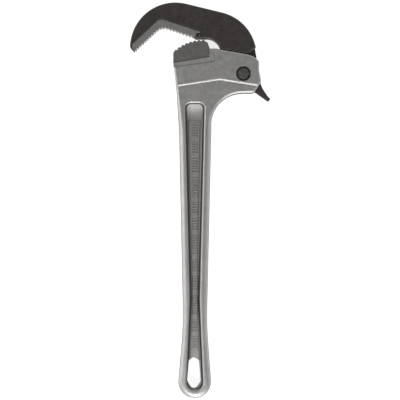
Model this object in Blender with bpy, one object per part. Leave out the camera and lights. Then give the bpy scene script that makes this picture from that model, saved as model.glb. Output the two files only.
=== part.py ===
"""A self-adjusting pipe wrench with a cast aluminium handle and a sprung hook jaw.

The wrench lies on its side: +Z is its thickness, +Y runs up the handle to the head, and the jaws
bite towards -X. It is drawn round the hook's pivot pin, whose axis is the datum, and then shifted
so that the origin is the bottom centre of the whole tool. Sizes are in millimetres, and MM turns
them into Blender's metres.
"""
import math

import bmesh
import bpy
from mathutils import Matrix, Vector

MM = 0.001

# Fits
GAP = 0.3                 # still faces that touch on the real tool
RUN_GAP = 0.2             # radial clearance of a part that turns or slides
SWING_GAP = 0.35          # between the hook and the head it swings over

# Head
HEAD_THICK = 30.5         # across the raised cheeks
CHEEK_CROWN = 22.9        # radius of the cheeks' top corner about the pin
TOP_FALL = 10.3           # degrees that the cheeks' top edge falls towards the back
HEAD_TOP = 29.0           # flat top between the heel jaw and the fork
HEAD_LEFT = -81.4         # front edge of the head
LEAN_FOOT = (-77.2, -22.0) # the front edge leans back to here
PAD_EDGE = 1.75           # rounding of the raised pad
PAD_REACH = 2.9           # how far in from the pad's side its rounding starts
PAD_CORNER_R = 3.1        # its corners seen from the side, no tighter than its rounding
PAD_INSET = 0.15          # the pad stands this far inside the casting's own wall
RIDGE_APEX = (-27.5, -7.9)
RIDGE_LEFT_Y = -15.6
RIDGE_RIGHT = (16.6, -14.9)

# Fork slot, cut through the head from behind
SLOT_WIDTH = 16.0
SLOT_FRONT = -29.4
SLOT_STEP = (-19.0, -4.0)  # front wall of the slot's narrower lower part
SLOT_FLOOR = -18.3
SLOT_END = -4.2            # the floor stops here, and the lever swings in under it

# Neck and grip
NECK_THICK = 27.0
WAIST_THICK = 24.5
NECK_Y = -68.0
GRIP_X = -56.0             # middle of the grip
GRIP_TOP_WIDTH = 37.6
WAIST_WIDTH = 27.5
BUTT_WIDTH = 41.0
BUTT_SHIFT = 0.5           # the butt's middle lies this far in front of the grip's
BUTT_Y = -374.9            # end of the handle
BUTT_FLAT = 0.3            # half the flat left between the butt's two round corners
WAIST_Y = BUTT_Y + 84.9
THROAT_R = 36.0
ARM_UNDER = -23.6
GRIP_EDGE = 6.0            # rounding of the flanges' outer edges
HEAD_EDGE = 3.2            # the same, where the grip meets the head
HEAD_EDGE_Y = -20.0        # above this it is the head's, and at NECK_Y it is the grip's

# Pocket of the I-beam, one on each face
WEB_THICK = 6.8
POCKET_TOP = -34.2
POCKET_SHIFT = 0.2         # the pocket's middle lies this far in front of the grip's
POCKET_TOP_WIDTH = 22.0
POCKET_WAIST_WIDTH = 10.8
POCKET_WAIST_Y = BUTT_Y + 112.9
POCKET_BUTT_WIDTH = 19.4
POCKET_END = BUTT_Y + 9.4
POCKET_END_R = 9.0
POCKET_RIM = 2.3
POCKET_DRAFT = 1.5
POCKET_FLOOR_R = 0.9
PLATE_RISE = 0.8           # raised plate on the web, which starts some way down the pocket
PLATE_TOP = -54.0
PLATE_END = BUTT_Y + 43.9
PLATE_MARGIN = 0.5         # between the plate and the pocket's walls
PLATE_LEAN = 1.6           # how much wider that is at the plate's top right corner

# Hanging eye
EYE_POINT = BUTT_Y + 7.0
EYE_TOP = EYE_POINT + 40.5
EYE_SHOULDER = 4.0         # the eye's pointed top drops this much to its sides
EYE_TOP_WIDTH = 11.6
EYE_WIDTH = 15.6
EYE_WIDEST = EYE_POINT + 12.4

# Heel jaw and its seat
JAW_THICK = 26.0
FLOOR_LEFT_Y = 12.1
FLOOR_ANGLE = 9.56
HEEL_RIGHT = -39.2
HEEL_SLOPE = 2.2           # the block's back leans in this far above the head's top
HEEL_TOP_Y = 36.0
HEEL_LEFT_Y = 25.2
HEEL_CROWN = (-47.0, -10.3)
HEEL_CROWN_R = 49.2
HEEL_PITCH = 4.8
HEEL_TOOTH = 1.5
BAND_DEPTH = 1.0
BAND_LEFT_Y = 6.8
BAND_ANGLE = 8.0
BAND_RIGHT = -32.2
TONGUE_THICK = 10.0
TONGUE_START = 9.0         # along the seat from its left end
TONGUE_LENGTH = 23.0
TONGUE_DEPTH = 12.0
HEEL_PIN_R = 2.5
HEEL_PIN_Y = 8.8
HEEL_PIN_LENGTH = 36.0
HEEL_PIN_SINK = 0.8

# Pivot pin, its cheek bushes and retaining rings
PIN_R = 6.0
PIN_SINK = 0.35
GROOVE_DEPTH = 0.6
RING_R = PIN_R + 2.0
RING_THICK = 1.1
RING_OPENING = 5.0        # degrees
RING_SINK = 0.85           # outer face of the ring below the cheek
BUSH_WALL = 1.5
COUNTERBORE_STEP = 0.7     # between the bushes' bore and the wider bore at the face
COUNTERBORE_DEPTH = 2.2

# Hook jaw
TANG_THICK = SLOT_WIDTH - 2 * GAP
HOOK_EDGE = 1.6
TIP_X = -131.4
BACK_CORNER = (-125.6, 95.2)
BACK_R = 52.5
NAPE_CORNER = (4.9, 63.4)
NAPE_R = 52.0
THROAT_CORNER = (-30.3, 40.7)
HOOK_THROAT_R = 16.3
LIP_X = -55.2
BEVEL_TOP = (14.4, 30.4)
BEVEL_FOOT_X = 5.3

# Cam on the tang: an involute, so the plunger moves evenly with the hook
CAM_BASE = 11.0            # height of the plunger's axis below the pin
CAM_REACH = 10.0           # from the pin to the cam's face, along that axis
OPEN_ANGLE = 27.0          # degrees from closed to wide open

# Hook jaw's toothed insert, a V-shaped strip
V_CORNER = (-96.7, 63.6)
V_OUTER_ANGLE = 223.0
V_INNER_ANGLE = -18.0
V_OUTER_LENGTH = 43.9
V_INNER_LENGTH = 50.1
V_BACK_R = 9.0
V_BITE_R = 4.0
INSERT_DEPTH = 8.5
INSERT_THICK = 25.0
INSERT_PITCH = 3.9
INSERT_TOOTH = 1.4
OUTER_TEETH = 42.0         # length of the outer arm's teeth
INNER_TEETH = 39.6
TOE = (-128.3, 28.9)       # corner half way up the insert's outer end
INSERT_PIN_R = 2.0
INSERT_PIN_SINK = 0.5

# Spring and plunger in the neck
BORE_R = 5.0
BORE_END = -56.0
PLUNGER_LENGTH = 19.0
PLUNGER_CHAMFER = 0.8
SPRING_WIRE = 1.2
SPRING_COILS = 8.0

# Fineness of the round stretches
ARC_ERROR = 0.05
ARC_STEP = math.radians(22.5)
EDGE_STEPS = 3
ROUND_SIDES = 40

ALUMINIUM = (0.33, 0.325, 0.315, 1.0)
JAW_STEEL = (0.20, 0.185, 0.175, 1.0)
BLACK_STEEL = (0.055, 0.05, 0.048, 1.0)
PIN_STEEL = (0.10, 0.098, 0.095, 1.0)
SPRING_STEEL = (0.36, 0.36, 0.37, 1.0)


# ---------------------------------------------------------------- outlines

def rounded(corners, grow=0.0):
    """Points round a counter-clockwise outline of (x, y, radius) corners, grown outward."""
    points = []
    for i, (x, y, radius) in enumerate(corners):
        here = Vector((x, y))
        arrive = (here - Vector(corners[i - 1][:2])).normalized()
        leave = (Vector(corners[(i + 1) % len(corners)][:2]) - here).normalized()
        turn = math.atan2(arrive.x * leave.y - arrive.y * leave.x, arrive.dot(leave))
        outward = Vector((arrive.y + leave.y, -arrive.x - leave.x))
        corner = here + outward * grow / (1 + arrive.dot(leave))
        if radius == 0:
            points.append(corner)
            continue
        side = math.copysign(1, turn)
        bend = max(radius + grow * side, 0.05)
        start = corner - arrive * bend * math.tan(abs(turn) / 2)
        centre = start + Vector((-arrive.y, arrive.x)) * bend * side
        step = min(2 * math.acos(1 - ARC_ERROR / max(radius, 0.1)), ARC_STEP)
        count = max(1, math.ceil(abs(turn) / step))
        for k in range(count + 1):
            points.append(centre + Matrix.Rotation(turn * k / count, 2) @ (start - centre))
    return points


def arc(centre, radius, start, end, count):
    """Sharp corners spread evenly along an arc between two angles in degrees."""
    angles = [math.radians(start + (end - start) * k / count) for k in range(count + 1)]
    return [(centre[0] + radius * math.cos(a), centre[1] + radius * math.sin(a), 0)
            for a in angles]


def toward(point, angle, distance):
    """The place at a distance from a point, in a direction given in degrees."""
    return (point[0] + distance * math.cos(math.radians(angle)),
            point[1] + distance * math.sin(math.radians(angle)))


def tooth_row(start, end, pitch, depth):
    """Corners of the ratchet teeth cut into the straight run from start to end."""
    run = Vector(end) - Vector(start)
    count = max(1, round(run.length / pitch))
    step = run / count
    root = Vector((-step.y, step.x)).normalized() * depth
    corners = []
    for i in range(count):
        foot = Vector(start) + step * i
        corners.append((*(foot + root), 0))
        corners.append((*(foot + step * 0.45), 0))
        corners.append((*(foot + step * 0.7), 0))
    return corners


def tooth_arc(centre, radius, start, end, pitch, depth):
    """Corners of the teeth cut into an arc that runs counter-clockwise, in degrees."""
    sweep = math.radians(end - start)
    count = max(1, round(radius * sweep / pitch))
    corners = []
    for i in range(count):
        for part, reach in ((0.0, radius - depth), (0.35, radius), (0.6, radius)):
            angle = math.radians(start) + sweep * (i + part) / count
            corners.append((centre[0] + reach * math.cos(angle),
                            centre[1] + reach * math.sin(angle), 0))
    return corners


# ---------------------------------------------------------------- meshes

def finish_mesh(name, mesh):
    """The Blender mesh of a bmesh, its faces pointing out and its round faces smooth."""
    bmesh.ops.recalc_face_normals(mesh, faces=mesh.faces)
    if mesh.calc_volume(signed=True) < 0:
        bmesh.ops.reverse_faces(mesh, faces=mesh.faces)
    data = bpy.data.meshes.new(name)
    mesh.to_mesh(data)
    mesh.free()
    data.shade_smooth()
    data.set_sharp_from_angle(angle=math.radians(32))
    return data


def loft(name, layers):
    """A closed mesh through (points, height) layers that all have the same count."""
    return skin(name, [[(x, y, z) for x, y in points] for points, z in layers])


def skin(name, layers):
    """A closed mesh through layers of (x, y, z) points that all have the same count."""
    mesh = bmesh.new()
    rings = [[mesh.verts.new(Vector(point) * MM) for point in points] for points in layers]
    for lower, upper in zip(rings, rings[1:]):
        for i in range(len(lower)):
            mesh.faces.new((lower[i - 1], lower[i], upper[i], upper[i - 1]))
    mesh.faces.new(rings[0])
    mesh.faces.new(rings[-1])
    return finish_mesh(name, mesh)


def plate_layers(corners, thickness, edge, inset=0.0, reach=None):
    """Layers of a plate centred on the mid-plane, with both rims rounded to a depth and reach."""
    reach = reach or edge
    upper = []
    for k in range(EDGE_STEPS + 1):
        angle = math.pi / 2 * k / EDGE_STEPS
        drop = edge * (1 - math.cos(angle))
        grow = -inset - reach * (1 - math.sin(angle))
        upper.append((rounded(corners, grow), thickness / 2 - drop))
    lower = [(points, -z) for points, z in upper]
    return lower + upper[::-1]


def slab(name, corners, low, high, grow=0.0):
    """A plain extrusion of an outline between two heights."""
    points = rounded(corners, grow)
    return loft(name, [(points, low), (points, high)])


def turned(name, profile, sides=ROUND_SIDES):
    """A solid or hollow round part from a closed (radius, height) profile about Z."""
    mesh = bmesh.new()
    rings = []
    for radius, height in profile:
        if radius == 0:
            rings.append([mesh.verts.new((0, 0, height * MM))] * sides)
            continue
        angles = [2 * math.pi * k / sides for k in range(sides)]
        rings.append([mesh.verts.new((radius * MM * math.cos(a), radius * MM * math.sin(a),
                                      height * MM)) for a in angles])
    pairs = list(zip(rings, rings[1:]))
    if profile[0][0] > 0:
        pairs.append((rings[-1], rings[0]))
    for lower, upper in pairs:
        for k in range(sides):
            quad = (lower[k - 1], lower[k], upper[k], upper[k - 1])
            mesh.faces.new(list(dict.fromkeys(quad)))
    return finish_mesh(name, mesh)


def place(name, data, material, parent, location=(0, 0, 0), turn=None):
    """Puts a mesh into the scene under a parent, in millimetres of the pin's datum."""
    node = bpy.data.objects.new(name, data)
    bpy.context.collection.objects.link(node)
    node.parent = parent
    node.location = Vector(location) * MM
    if turn:
        node.rotation_euler = turn
    if material:
        data.materials.append(material)
    return node


def cutter(name, data, parent, location=(0, 0, 0), turn=None):
    """A hidden shape that only takes part in Booleans."""
    tool = place(name, data, None, parent, location, turn)
    tool.hide_render = True
    tool.display_type = "WIRE"
    return tool


def combine(node, tool, operation="DIFFERENCE"):
    """Adds one Boolean step to a node."""
    step = node.modifiers.new(tool.name, "BOOLEAN")
    step.operation = operation
    step.solver = "EXACT"
    step.object = tool


def steel(name, colour, roughness, metallic):
    material = bpy.data.materials.new(name)
    material.use_nodes = True
    shader = material.node_tree.nodes["Principled BSDF"]
    shader.inputs["Base Color"].default_value = colour
    shader.inputs["Roughness"].default_value = roughness
    shader.inputs["Metallic"].default_value = metallic
    return material


def empty(name, parent=None):
    frame = bpy.data.objects.new(name, None)
    bpy.context.collection.objects.link(frame)
    frame.parent = parent
    return frame


# ---------------------------------------------------------------- handle

def front_edge_x(y):
    """The head's front edge, which leans back towards the neck."""
    share = (FLOOR_LEFT_Y - y) / (FLOOR_LEFT_Y - LEAN_FOOT[1])
    return HEAD_LEFT + share * (LEAN_FOOT[0] - HEAD_LEFT)


def seat_y(x):
    """The heel jaw's seat, which rises towards the fork."""
    return FLOOR_LEFT_Y + math.tan(math.radians(FLOOR_ANGLE)) * (x - HEAD_LEFT)


def head_top_corners():
    """From the cheeks' back edge, over their crown and along the flat top, to the front."""
    normal = 90 - TOP_FALL
    crown = arc((0, 0), CHEEK_CROWN, 38, normal, 6)
    rise = (HEAD_TOP - CHEEK_CROWN / math.cos(math.radians(TOP_FALL)))
    slope_end = -rise / math.tan(math.radians(TOP_FALL))
    return crown + [
        (slope_end, HEAD_TOP, 4),
        (front_edge_x(HEAD_TOP), HEAD_TOP, PAD_CORNER_R),
    ]


def butt_radius():
    """The largest rounding that the butt's two corners have room for."""
    lean = math.atan2((BUTT_WIDTH - WAIST_WIDTH) / 2, WAIST_Y - BUTT_Y)
    return (BUTT_WIDTH / 2 - BUTT_FLAT) / math.tan(math.pi / 4 + lean / 2)


def handle_corners():
    """The casting from the butt up its right side; the head's raised pad covers its top."""
    shoulder = RIDGE_LEFT_Y + 4
    return [
        (GRIP_X - BUTT_SHIFT - BUTT_WIDTH / 2, BUTT_Y, butt_radius()),
        (GRIP_X - BUTT_SHIFT + BUTT_WIDTH / 2, BUTT_Y, butt_radius()),
        (GRIP_X + WAIST_WIDTH / 2, WAIST_Y, 400),
        (GRIP_X + GRIP_TOP_WIDTH / 2, NECK_Y, 0),
        (GRIP_X + GRIP_TOP_WIDTH / 2 + 0.4, ARM_UNDER, THROAT_R),
        (12.4, ARM_UNDER + 1.2, 5),
        (20.8, -9.6, 5),
        (14.0, 3.0, 5),
        (HEAD_LEFT + 8, 3.0, 5),
        (front_edge_x(shoulder), shoulder, 5),
        (*LEAN_FOOT, 60),
        (GRIP_X - GRIP_TOP_WIDTH / 2 + 0.4, NECK_Y, 200),
        (GRIP_X - WAIST_WIDTH / 2, WAIST_Y, 400),
    ]


def grip_edge_at(y):
    """The rounding of the casting's outer edges, tighter at the head than along the grip."""
    share = min(max((HEAD_EDGE_Y - y) / (HEAD_EDGE_Y - NECK_Y), 0.0), 1.0)
    return HEAD_EDGE + (GRIP_EDGE - HEAD_EDGE) * share * share * (3 - 2 * share)


def casting_layers():
    """Layers of the casting, with rims whose rounding changes along the grip."""
    outline = rounded(handle_corners())
    inward = [inner - outer for inner, outer in zip(rounded(handle_corners(), -1.0), outline)]
    upper = []
    for k in range(EDGE_STEPS + 1):
        angle = math.pi / 2 * k / EDGE_STEPS
        layer = []
        for point, turn in zip(outline, inward):
            edge = grip_edge_at(point.y)
            x, y = point + turn * edge * (1 - math.sin(angle))
            layer.append((x, y, NECK_THICK / 2 - edge * (1 - math.cos(angle))))
        upper.append(layer)
    lower = [[(x, y, -z) for x, y, z in layer] for layer in upper]
    return lower + upper[::-1]


def local_thickness(y):
    """The casting thins from the neck to the waist."""
    share = min(max((NECK_Y - y) / (NECK_Y - WAIST_Y), 0.0), 1.0)
    return NECK_THICK + (WAIST_THICK - NECK_THICK) * share


def split_across(data, *heights):
    """Cuts edges into a mesh at heights along the grip, so that its thickness can change there."""
    mesh = bmesh.new()
    mesh.from_mesh(data)
    for height in heights:
        everything = mesh.verts[:] + mesh.edges[:] + mesh.faces[:]
        bmesh.ops.bisect_plane(mesh, geom=everything, plane_co=(0, height * MM, 0),
                               plane_no=(0, 1, 0))
    mesh.to_mesh(data)
    mesh.free()
    return data


def taper(data):
    """Scales a mesh made for the neck's thickness to the thickness at each point."""
    split_across(data, NECK_Y, WAIST_Y)
    for vertex in data.vertices:
        vertex.co.z *= local_thickness(vertex.co.y / MM) / NECK_THICK
    return data


def pad_corners():
    """The raised part of the head, bounded below by its shallow roof-shaped ridge."""
    left = front_edge_x(RIDGE_LEFT_Y)
    return [
        (left, RIDGE_LEFT_Y, PAD_CORNER_R),
        (*RIDGE_APEX, 1.0),
        (*RIDGE_RIGHT, PAD_CORNER_R),
        (20.6, -9.2, 5),
        (18.1, 3.5, 20),
    ] + head_top_corners()


def pocket_half(y):
    """Half the pocket's width at a height, at the foot of its rounded rim."""
    if y > POCKET_WAIST_Y:
        end, width = POCKET_TOP, POCKET_TOP_WIDTH
    else:
        end, width = POCKET_END, POCKET_BUTT_WIDTH
    share = (y - POCKET_WAIST_Y) / (end - POCKET_WAIST_Y)
    return (POCKET_WAIST_WIDTH + share * (width - POCKET_WAIST_WIDTH)) / 2


def pocket_corners():
    """The I-beam's pocket at the foot of its rounded rim."""
    top = POCKET_TOP_WIDTH / 2
    waist = POCKET_WAIST_WIDTH / 2
    butt = POCKET_BUTT_WIDTH / 2
    middle = GRIP_X - POCKET_SHIFT
    neck = pocket_half(NECK_Y)
    return [
        (middle - butt, POCKET_END, POCKET_END_R),
        (middle + butt, POCKET_END, POCKET_END_R),
        (middle + waist, POCKET_WAIST_Y, 300),
        (middle + neck, NECK_Y, 0),
        (middle + top, POCKET_TOP, 6.5),
        (middle - top, POCKET_TOP, 6.5),
        (middle - neck, NECK_Y, 0),
        (middle - waist, POCKET_WAIST_Y, 300),
    ]


def pocket_layers(side):
    """Layers of the cutter for one face's pocket, from above the face to the floor."""
    corners = pocket_corners()
    face = NECK_THICK / 2
    floor = WEB_THICK / 2
    layers = [(rounded(corners, POCKET_RIM), (face + 2) * side)]
    for k in range(EDGE_STEPS + 1):
        angle = math.pi / 2 * k / EDGE_STEPS
        grow = POCKET_RIM * (1 - math.sin(angle))
        layers.append((rounded(corners, grow), (face - POCKET_RIM * (1 - math.cos(angle))) * side))
    for k in range(EDGE_STEPS):
        angle = math.pi / 2 * k / (EDGE_STEPS - 1)
        grow = -POCKET_DRAFT - POCKET_FLOOR_R * (1 - math.cos(angle))
        layers.append((rounded(corners, grow), (floor + POCKET_FLOOR_R * (1 - math.sin(angle))) * side))
    return layers


def plate_corners():
    """The raised plate on the web, inside the pocket's walls; the eye cuts its lower end."""
    inset = POCKET_DRAFT + POCKET_FLOOR_R + PLATE_MARGIN
    top = pocket_half(PLATE_TOP) - inset
    waist = POCKET_WAIST_WIDTH / 2 - inset
    end = pocket_half(PLATE_END) - inset
    middle = GRIP_X - POCKET_SHIFT
    return [
        (middle - end, PLATE_END, 0),
        (middle + end, PLATE_END, 0),
        (middle + waist, POCKET_WAIST_Y, 300),
        (middle + top - PLATE_LEAN, PLATE_TOP, 1.0),
        (middle - top, PLATE_TOP, 1.0),
        (middle - waist, POCKET_WAIST_Y, 300),
    ]


def eye_corners():
    """The teardrop hanging eye."""
    top = EYE_TOP_WIDTH / 2
    wide = EYE_WIDTH / 2
    middle = GRIP_X - 1.3
    return [
        (middle - wide, EYE_WIDEST, 6),
        (middle, EYE_POINT, 5),
        (middle + wide, EYE_WIDEST, 6),
        (middle + top, EYE_TOP - EYE_SHOULDER, 3),
        (middle, EYE_TOP, 4),
        (middle - top, EYE_TOP - EYE_SHOULDER, 3),
    ]


def slot_corners():
    """The fork slot seen from the side; it is open at the top, at the back and under the lever."""
    return [
        (SLOT_FRONT, SLOT_STEP[1] + 8, 4),
        (SLOT_STEP[0], SLOT_STEP[1], 4),
        (SLOT_STEP[0], SLOT_FLOOR, 2.5),
        (SLOT_END, SLOT_FLOOR, 0),
        (SLOT_END, ARM_UNDER - 12, 0),
        (40, ARM_UNDER - 12, 0),
        (40, HEAD_TOP + 12, 0),
        (SLOT_FRONT, HEAD_TOP + 12, 0),
    ]


def notch_corners():
    """What the heel jaw's seat takes off the head's front."""
    front = HEAD_LEFT - 6
    right = HEEL_RIGHT + GAP
    return [
        (front, seat_y(front), 0),
        (right, seat_y(right), 0.7),
        (right, HEAD_TOP + 6, 0),
        (front, HEAD_TOP + 6, 0),
    ]


def band_corners():
    """The sunk band on each face round the foot of the heel jaw."""
    slope = math.tan(math.radians(BAND_ANGLE))
    front = HEAD_LEFT - 6
    return [
        (front, BAND_LEFT_Y - 6 * slope, 0),
        (BAND_RIGHT, BAND_LEFT_Y + slope * (BAND_RIGHT - HEAD_LEFT), 2.3),
        (BAND_RIGHT, HEAD_TOP + 6, 0),
        (front, HEAD_TOP + 6, 0),
    ]


def tongue_corners(grow=0.0):
    """The heel jaw's tongue below its seat."""
    start = toward((HEAD_LEFT, FLOOR_LEFT_Y), FLOOR_ANGLE, TONGUE_START - grow)
    end = toward(start, FLOOR_ANGLE, TONGUE_LENGTH + 2 * grow)
    down = FLOOR_ANGLE - 90
    return [
        (*toward(start, down, TONGUE_DEPTH + grow), 1.5),
        (*toward(end, down, TONGUE_DEPTH + grow), 1.5),
        (*toward(end, down, -2.5), 0),
        (*toward(start, down, -2.5), 0),
    ]


def make_handle(parent, material):
    """The casting: grip, neck and forked head, and everything that is cut into them."""
    blank = taper(skin("handle", casting_layers()))
    handle = place("handle", blank, material, parent)
    pad_layers = plate_layers(pad_corners(), HEAD_THICK, PAD_EDGE, PAD_INSET, PAD_REACH)
    pad = loft("head_pad", pad_layers)
    combine(handle, cutter("head_pad", pad, parent), "UNION")
    for side, face in ((1, "front"), (-1, "back")):
        pocket = taper(loft("pocket_" + face, pocket_layers(side)))
        combine(handle, cutter("pocket_" + face, pocket, parent))
        web = WEB_THICK / 2 * side
        plate = taper(slab("plate_" + face, plate_corners(), web / 2, web + PLATE_RISE * side))
        combine(handle, cutter("plate_" + face, plate, parent), "UNION")
        low = (HEAD_THICK / 2 - BAND_DEPTH) * side
        band = slab("band_" + face, band_corners(), low, HEAD_THICK * side)
        combine(handle, cutter("band_" + face, band, parent))
    notch = slab("notch", notch_corners(), -HEAD_THICK, HEAD_THICK)
    combine(handle, cutter("notch", notch, parent))
    eye = slab("eye", eye_corners(), -NECK_THICK, NECK_THICK)
    combine(handle, cutter("eye", eye, parent))
    slot = slab("slot", slot_corners(), -SLOT_WIDTH / 2, SLOT_WIDTH / 2)
    combine(handle, cutter("slot", slot, parent))
    socket = slab("tongue_socket", tongue_corners(GAP), -TONGUE_THICK / 2 - GAP,
                  TONGUE_THICK / 2 + GAP)
    combine(handle, cutter("tongue_socket", socket, parent))
    combine(handle, cutter("pivot_bore", pivot_bore(), parent))
    bore = rod("spring_bore", BORE_R, SLOT_STEP[0] + 3 - BORE_END)
    combine(handle, cutter("spring_bore", bore, parent, (BORE_END, -CAM_BASE, 0), ALONG_X))
    pin_hole = rod("heel_pin_hole", HEEL_PIN_R + GAP, HEEL_PIN_LENGTH + GAP + 5)
    start = (front_edge_x(HEEL_PIN_Y) + HEEL_PIN_SINK - 5, HEEL_PIN_Y, 0)
    combine(handle, cutter("heel_pin_hole", pin_hole, parent, start, ALONG_X))
    return handle


ALONG_X = (0, math.pi / 2, 0)


def rod(name, radius, length, sides=ROUND_SIDES):
    """A plain round bar that stands on its origin."""
    return turned(name, [(0, 0), (radius, 0), (radius, length), (0, length)], sides)


def bush_reach():
    """How far from the mid-plane a cheek bush starts and ends."""
    return SLOT_WIDTH / 2 + 0.1, HEAD_THICK / 2 - COUNTERBORE_DEPTH - 0.1


def pivot_bore():
    """The bore through both cheeks, wider at each face for the retaining ring."""
    bore = PIN_R + RUN_GAP + BUSH_WALL + GAP
    face = HEAD_THICK / 2
    shelf = face - COUNTERBORE_DEPTH
    wide = bore + COUNTERBORE_STEP
    return turned("pivot_bore", [
        (0, -face - 1), (wide, -face - 1), (wide, -shelf), (bore, -shelf),
        (bore, shelf), (wide, shelf), (wide, face + 1), (0, face + 1)])


# ---------------------------------------------------------------- heel jaw

def heel_corners():
    """The heel jaw's block with its crowned, toothed top."""
    left = HEAD_LEFT + 0.2
    centre_x, centre_y = HEEL_CROWN
    end = 180 - math.degrees(math.asin((HEEL_LEFT_Y - centre_y) / HEEL_CROWN_R))
    return [
        (left, seat_y(left) + GAP, 0.5),
        (HEEL_RIGHT, seat_y(HEEL_RIGHT) + GAP, 0.5),
        (HEEL_RIGHT, HEAD_TOP + 0.8, 0.8),
        (HEEL_RIGHT - HEEL_SLOPE, HEEL_TOP_Y, 0.8),
        (HEEL_RIGHT - HEEL_SLOPE - 2, HEEL_TOP_Y + 0.9, 0.5),
    ] + tooth_arc(HEEL_CROWN, HEEL_CROWN_R, 86.5, end, HEEL_PITCH, HEEL_TOOTH) + [
        (left, HEEL_LEFT_Y - 1.0, 0),
    ]


def make_heel_jaw(parent, material):
    """Steel block that sits in the head, with a tongue and the hole for its pin."""
    block = slab("heel_jaw", heel_corners(), -JAW_THICK / 2, JAW_THICK / 2)
    jaw = place("heel_jaw", block, material, parent)
    tongue = slab("tongue", tongue_corners(), -TONGUE_THICK / 2, TONGUE_THICK / 2)
    combine(jaw, cutter("tongue", tongue, parent), "UNION")
    combine(jaw, bpy.data.objects["heel_pin_hole"])
    return jaw


def spring_pin(name, radius, length):
    """A rolled pin: a slit tube that stands on its origin."""
    inner = radius * 0.55
    slit = 12
    corners = arc((0, 0), radius, slit, 360 - slit, 20)
    corners += arc((0, 0), inner, 360 - slit, slit, 20)
    return slab(name, corners, 0, length)


def make_heel_pin(parent, material):
    start = (front_edge_x(HEEL_PIN_Y) + HEEL_PIN_SINK, HEEL_PIN_Y, 0)
    pin = spring_pin("heel_jaw_pin", HEEL_PIN_R, HEEL_PIN_LENGTH)
    return place("heel_jaw_pin", pin, material, parent, start, ALONG_X)


# ---------------------------------------------------------------- pivot

def make_pivot(parent, pin_material, ring_material, bush_material):
    """The pin with a groove at each end, its two retaining rings and two cheek bushes."""
    end = HEAD_THICK / 2 - PIN_SINK
    ring_high = HEAD_THICK / 2 - RING_SINK
    ring_low = ring_high - RING_THICK
    groove_high = ring_high + 0.12
    groove_low = ring_low - 0.12
    groove = PIN_R - GROOVE_DEPTH
    half = [(groove, groove_high), (PIN_R, groove_high), (PIN_R, end - 0.15), (PIN_R - 0.3, end)]
    upper = [(PIN_R, groove_low), (groove, groove_low)] + half
    lower = [(r, -z) for r, z in upper[::-1]]
    profile = [(0, -end)] + lower + upper + [(0, end)]
    place("pivot_pin", turned("pivot_pin", profile), pin_material, parent)
    opening = RING_OPENING / 2
    ring = arc((0, 0), RING_R, opening, 360 - opening, 32)
    ring += arc((0, 0), groove + GAP, 360 - opening * 1.3, opening * 1.3, 32)
    bush_low, bush_high = bush_reach()
    inner = PIN_R + RUN_GAP
    for side, face in ((1, "front"), (-1, "back")):
        low, high = sorted((ring_low * side, ring_high * side))
        data = slab("retaining_ring_" + face, ring, low, high)
        place("retaining_ring_" + face, data, ring_material, parent)
        low, high = sorted((bush_low * side, bush_high * side))
        tube = [(inner, low), (inner + BUSH_WALL, low), (inner + BUSH_WALL, high), (inner, high)]
        place("cheek_bush_" + face, turned("cheek_bush_" + face, tube), bush_material, parent)


# ---------------------------------------------------------------- hook jaw

def v_bite():
    """The corner of the insert's toothed side."""
    half = math.radians(360 + V_INNER_ANGLE - V_OUTER_ANGLE) / 2
    middle = (V_OUTER_ANGLE + 360 + V_INNER_ANGLE) / 2
    return toward(V_CORNER, middle, INSERT_DEPTH / math.sin(half))


def insert_ends():
    """The four ends of the V: bite outer, bite inner, back inner and back outer."""
    bite = v_bite()
    return (toward(bite, V_OUTER_ANGLE, OUTER_TEETH), toward(bite, V_INNER_ANGLE, INNER_TEETH),
            toward(V_CORNER, V_INNER_ANGLE, V_INNER_LENGTH),
            toward(V_CORNER, V_OUTER_ANGLE, V_OUTER_LENGTH))


def insert_corners():
    """The toothed V strip."""
    bite_outer, bite_inner, back_inner, back_outer = insert_ends()
    bite = v_bite()
    blunt_outer = toward(bite, V_OUTER_ANGLE, V_BITE_R)
    blunt_inner = toward(bite, V_INNER_ANGLE, V_BITE_R)
    return (
        tooth_row(bite_outer, blunt_outer, INSERT_PITCH, INSERT_TOOTH)
        + tooth_row(blunt_outer, blunt_inner, INSERT_PITCH, INSERT_TOOTH)
        + tooth_row(blunt_inner, bite_inner, INSERT_PITCH, INSERT_TOOTH)
        + [(*bite_inner, 0), (*back_inner, 0.6), (*V_CORNER, V_BACK_R), (*back_outer, 0.6),
           (*TOE, 0.6)])


def insert_seat_corners():
    """What the hook loses to the insert: the strip's back, with its toothed side far outside."""
    bite_outer, bite_inner, back_inner, back_outer = insert_ends()
    open_outer = toward(bite_outer, V_OUTER_ANGLE + 90, 14)
    open_inner = Vector(bite_inner) + (Vector(bite_inner) - Vector(back_inner)).normalized() * 12
    return [(*open_outer, 0), (*toward(v_bite(), -78, 14), 0), (*open_inner, 0),
            (*back_inner, 0.6), (*V_CORNER, V_BACK_R), (*back_outer, 0.6), (*TOE, 0.6),
            (*bite_outer, 0)]


def hook_corners():
    """The hook's thick body, drawn over the insert, which is cut out of it afterwards."""
    reach = CHEEK_CROWN + SWING_GAP
    fall = math.radians(TOP_FALL)
    height = reach / math.cos(fall)

    def shoulder_y(x):
        return height - x * math.tan(fall)

    bite_outer, bite_inner = insert_ends()[:2]
    return [
        (TIP_X + 5.4, bite_outer[1] - 0.6, 0.4),
        (*v_bite(), 6),
        (*bite_inner, 0),
        (LIP_X, THROAT_CORNER[1] - 0.4, 1.2),
        (*THROAT_CORNER, HOOK_THROAT_R),
        (-26.9, shoulder_y(-26.9), 0.8),
        (BEVEL_FOOT_X, shoulder_y(BEVEL_FOOT_X), 0.8),
        (*BEVEL_TOP, 0.6),
        (*NAPE_CORNER, NAPE_R),
        (*BACK_CORNER, BACK_R),
        (TIP_X, bite_outer[1] + 4.5, 6),
    ]


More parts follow.
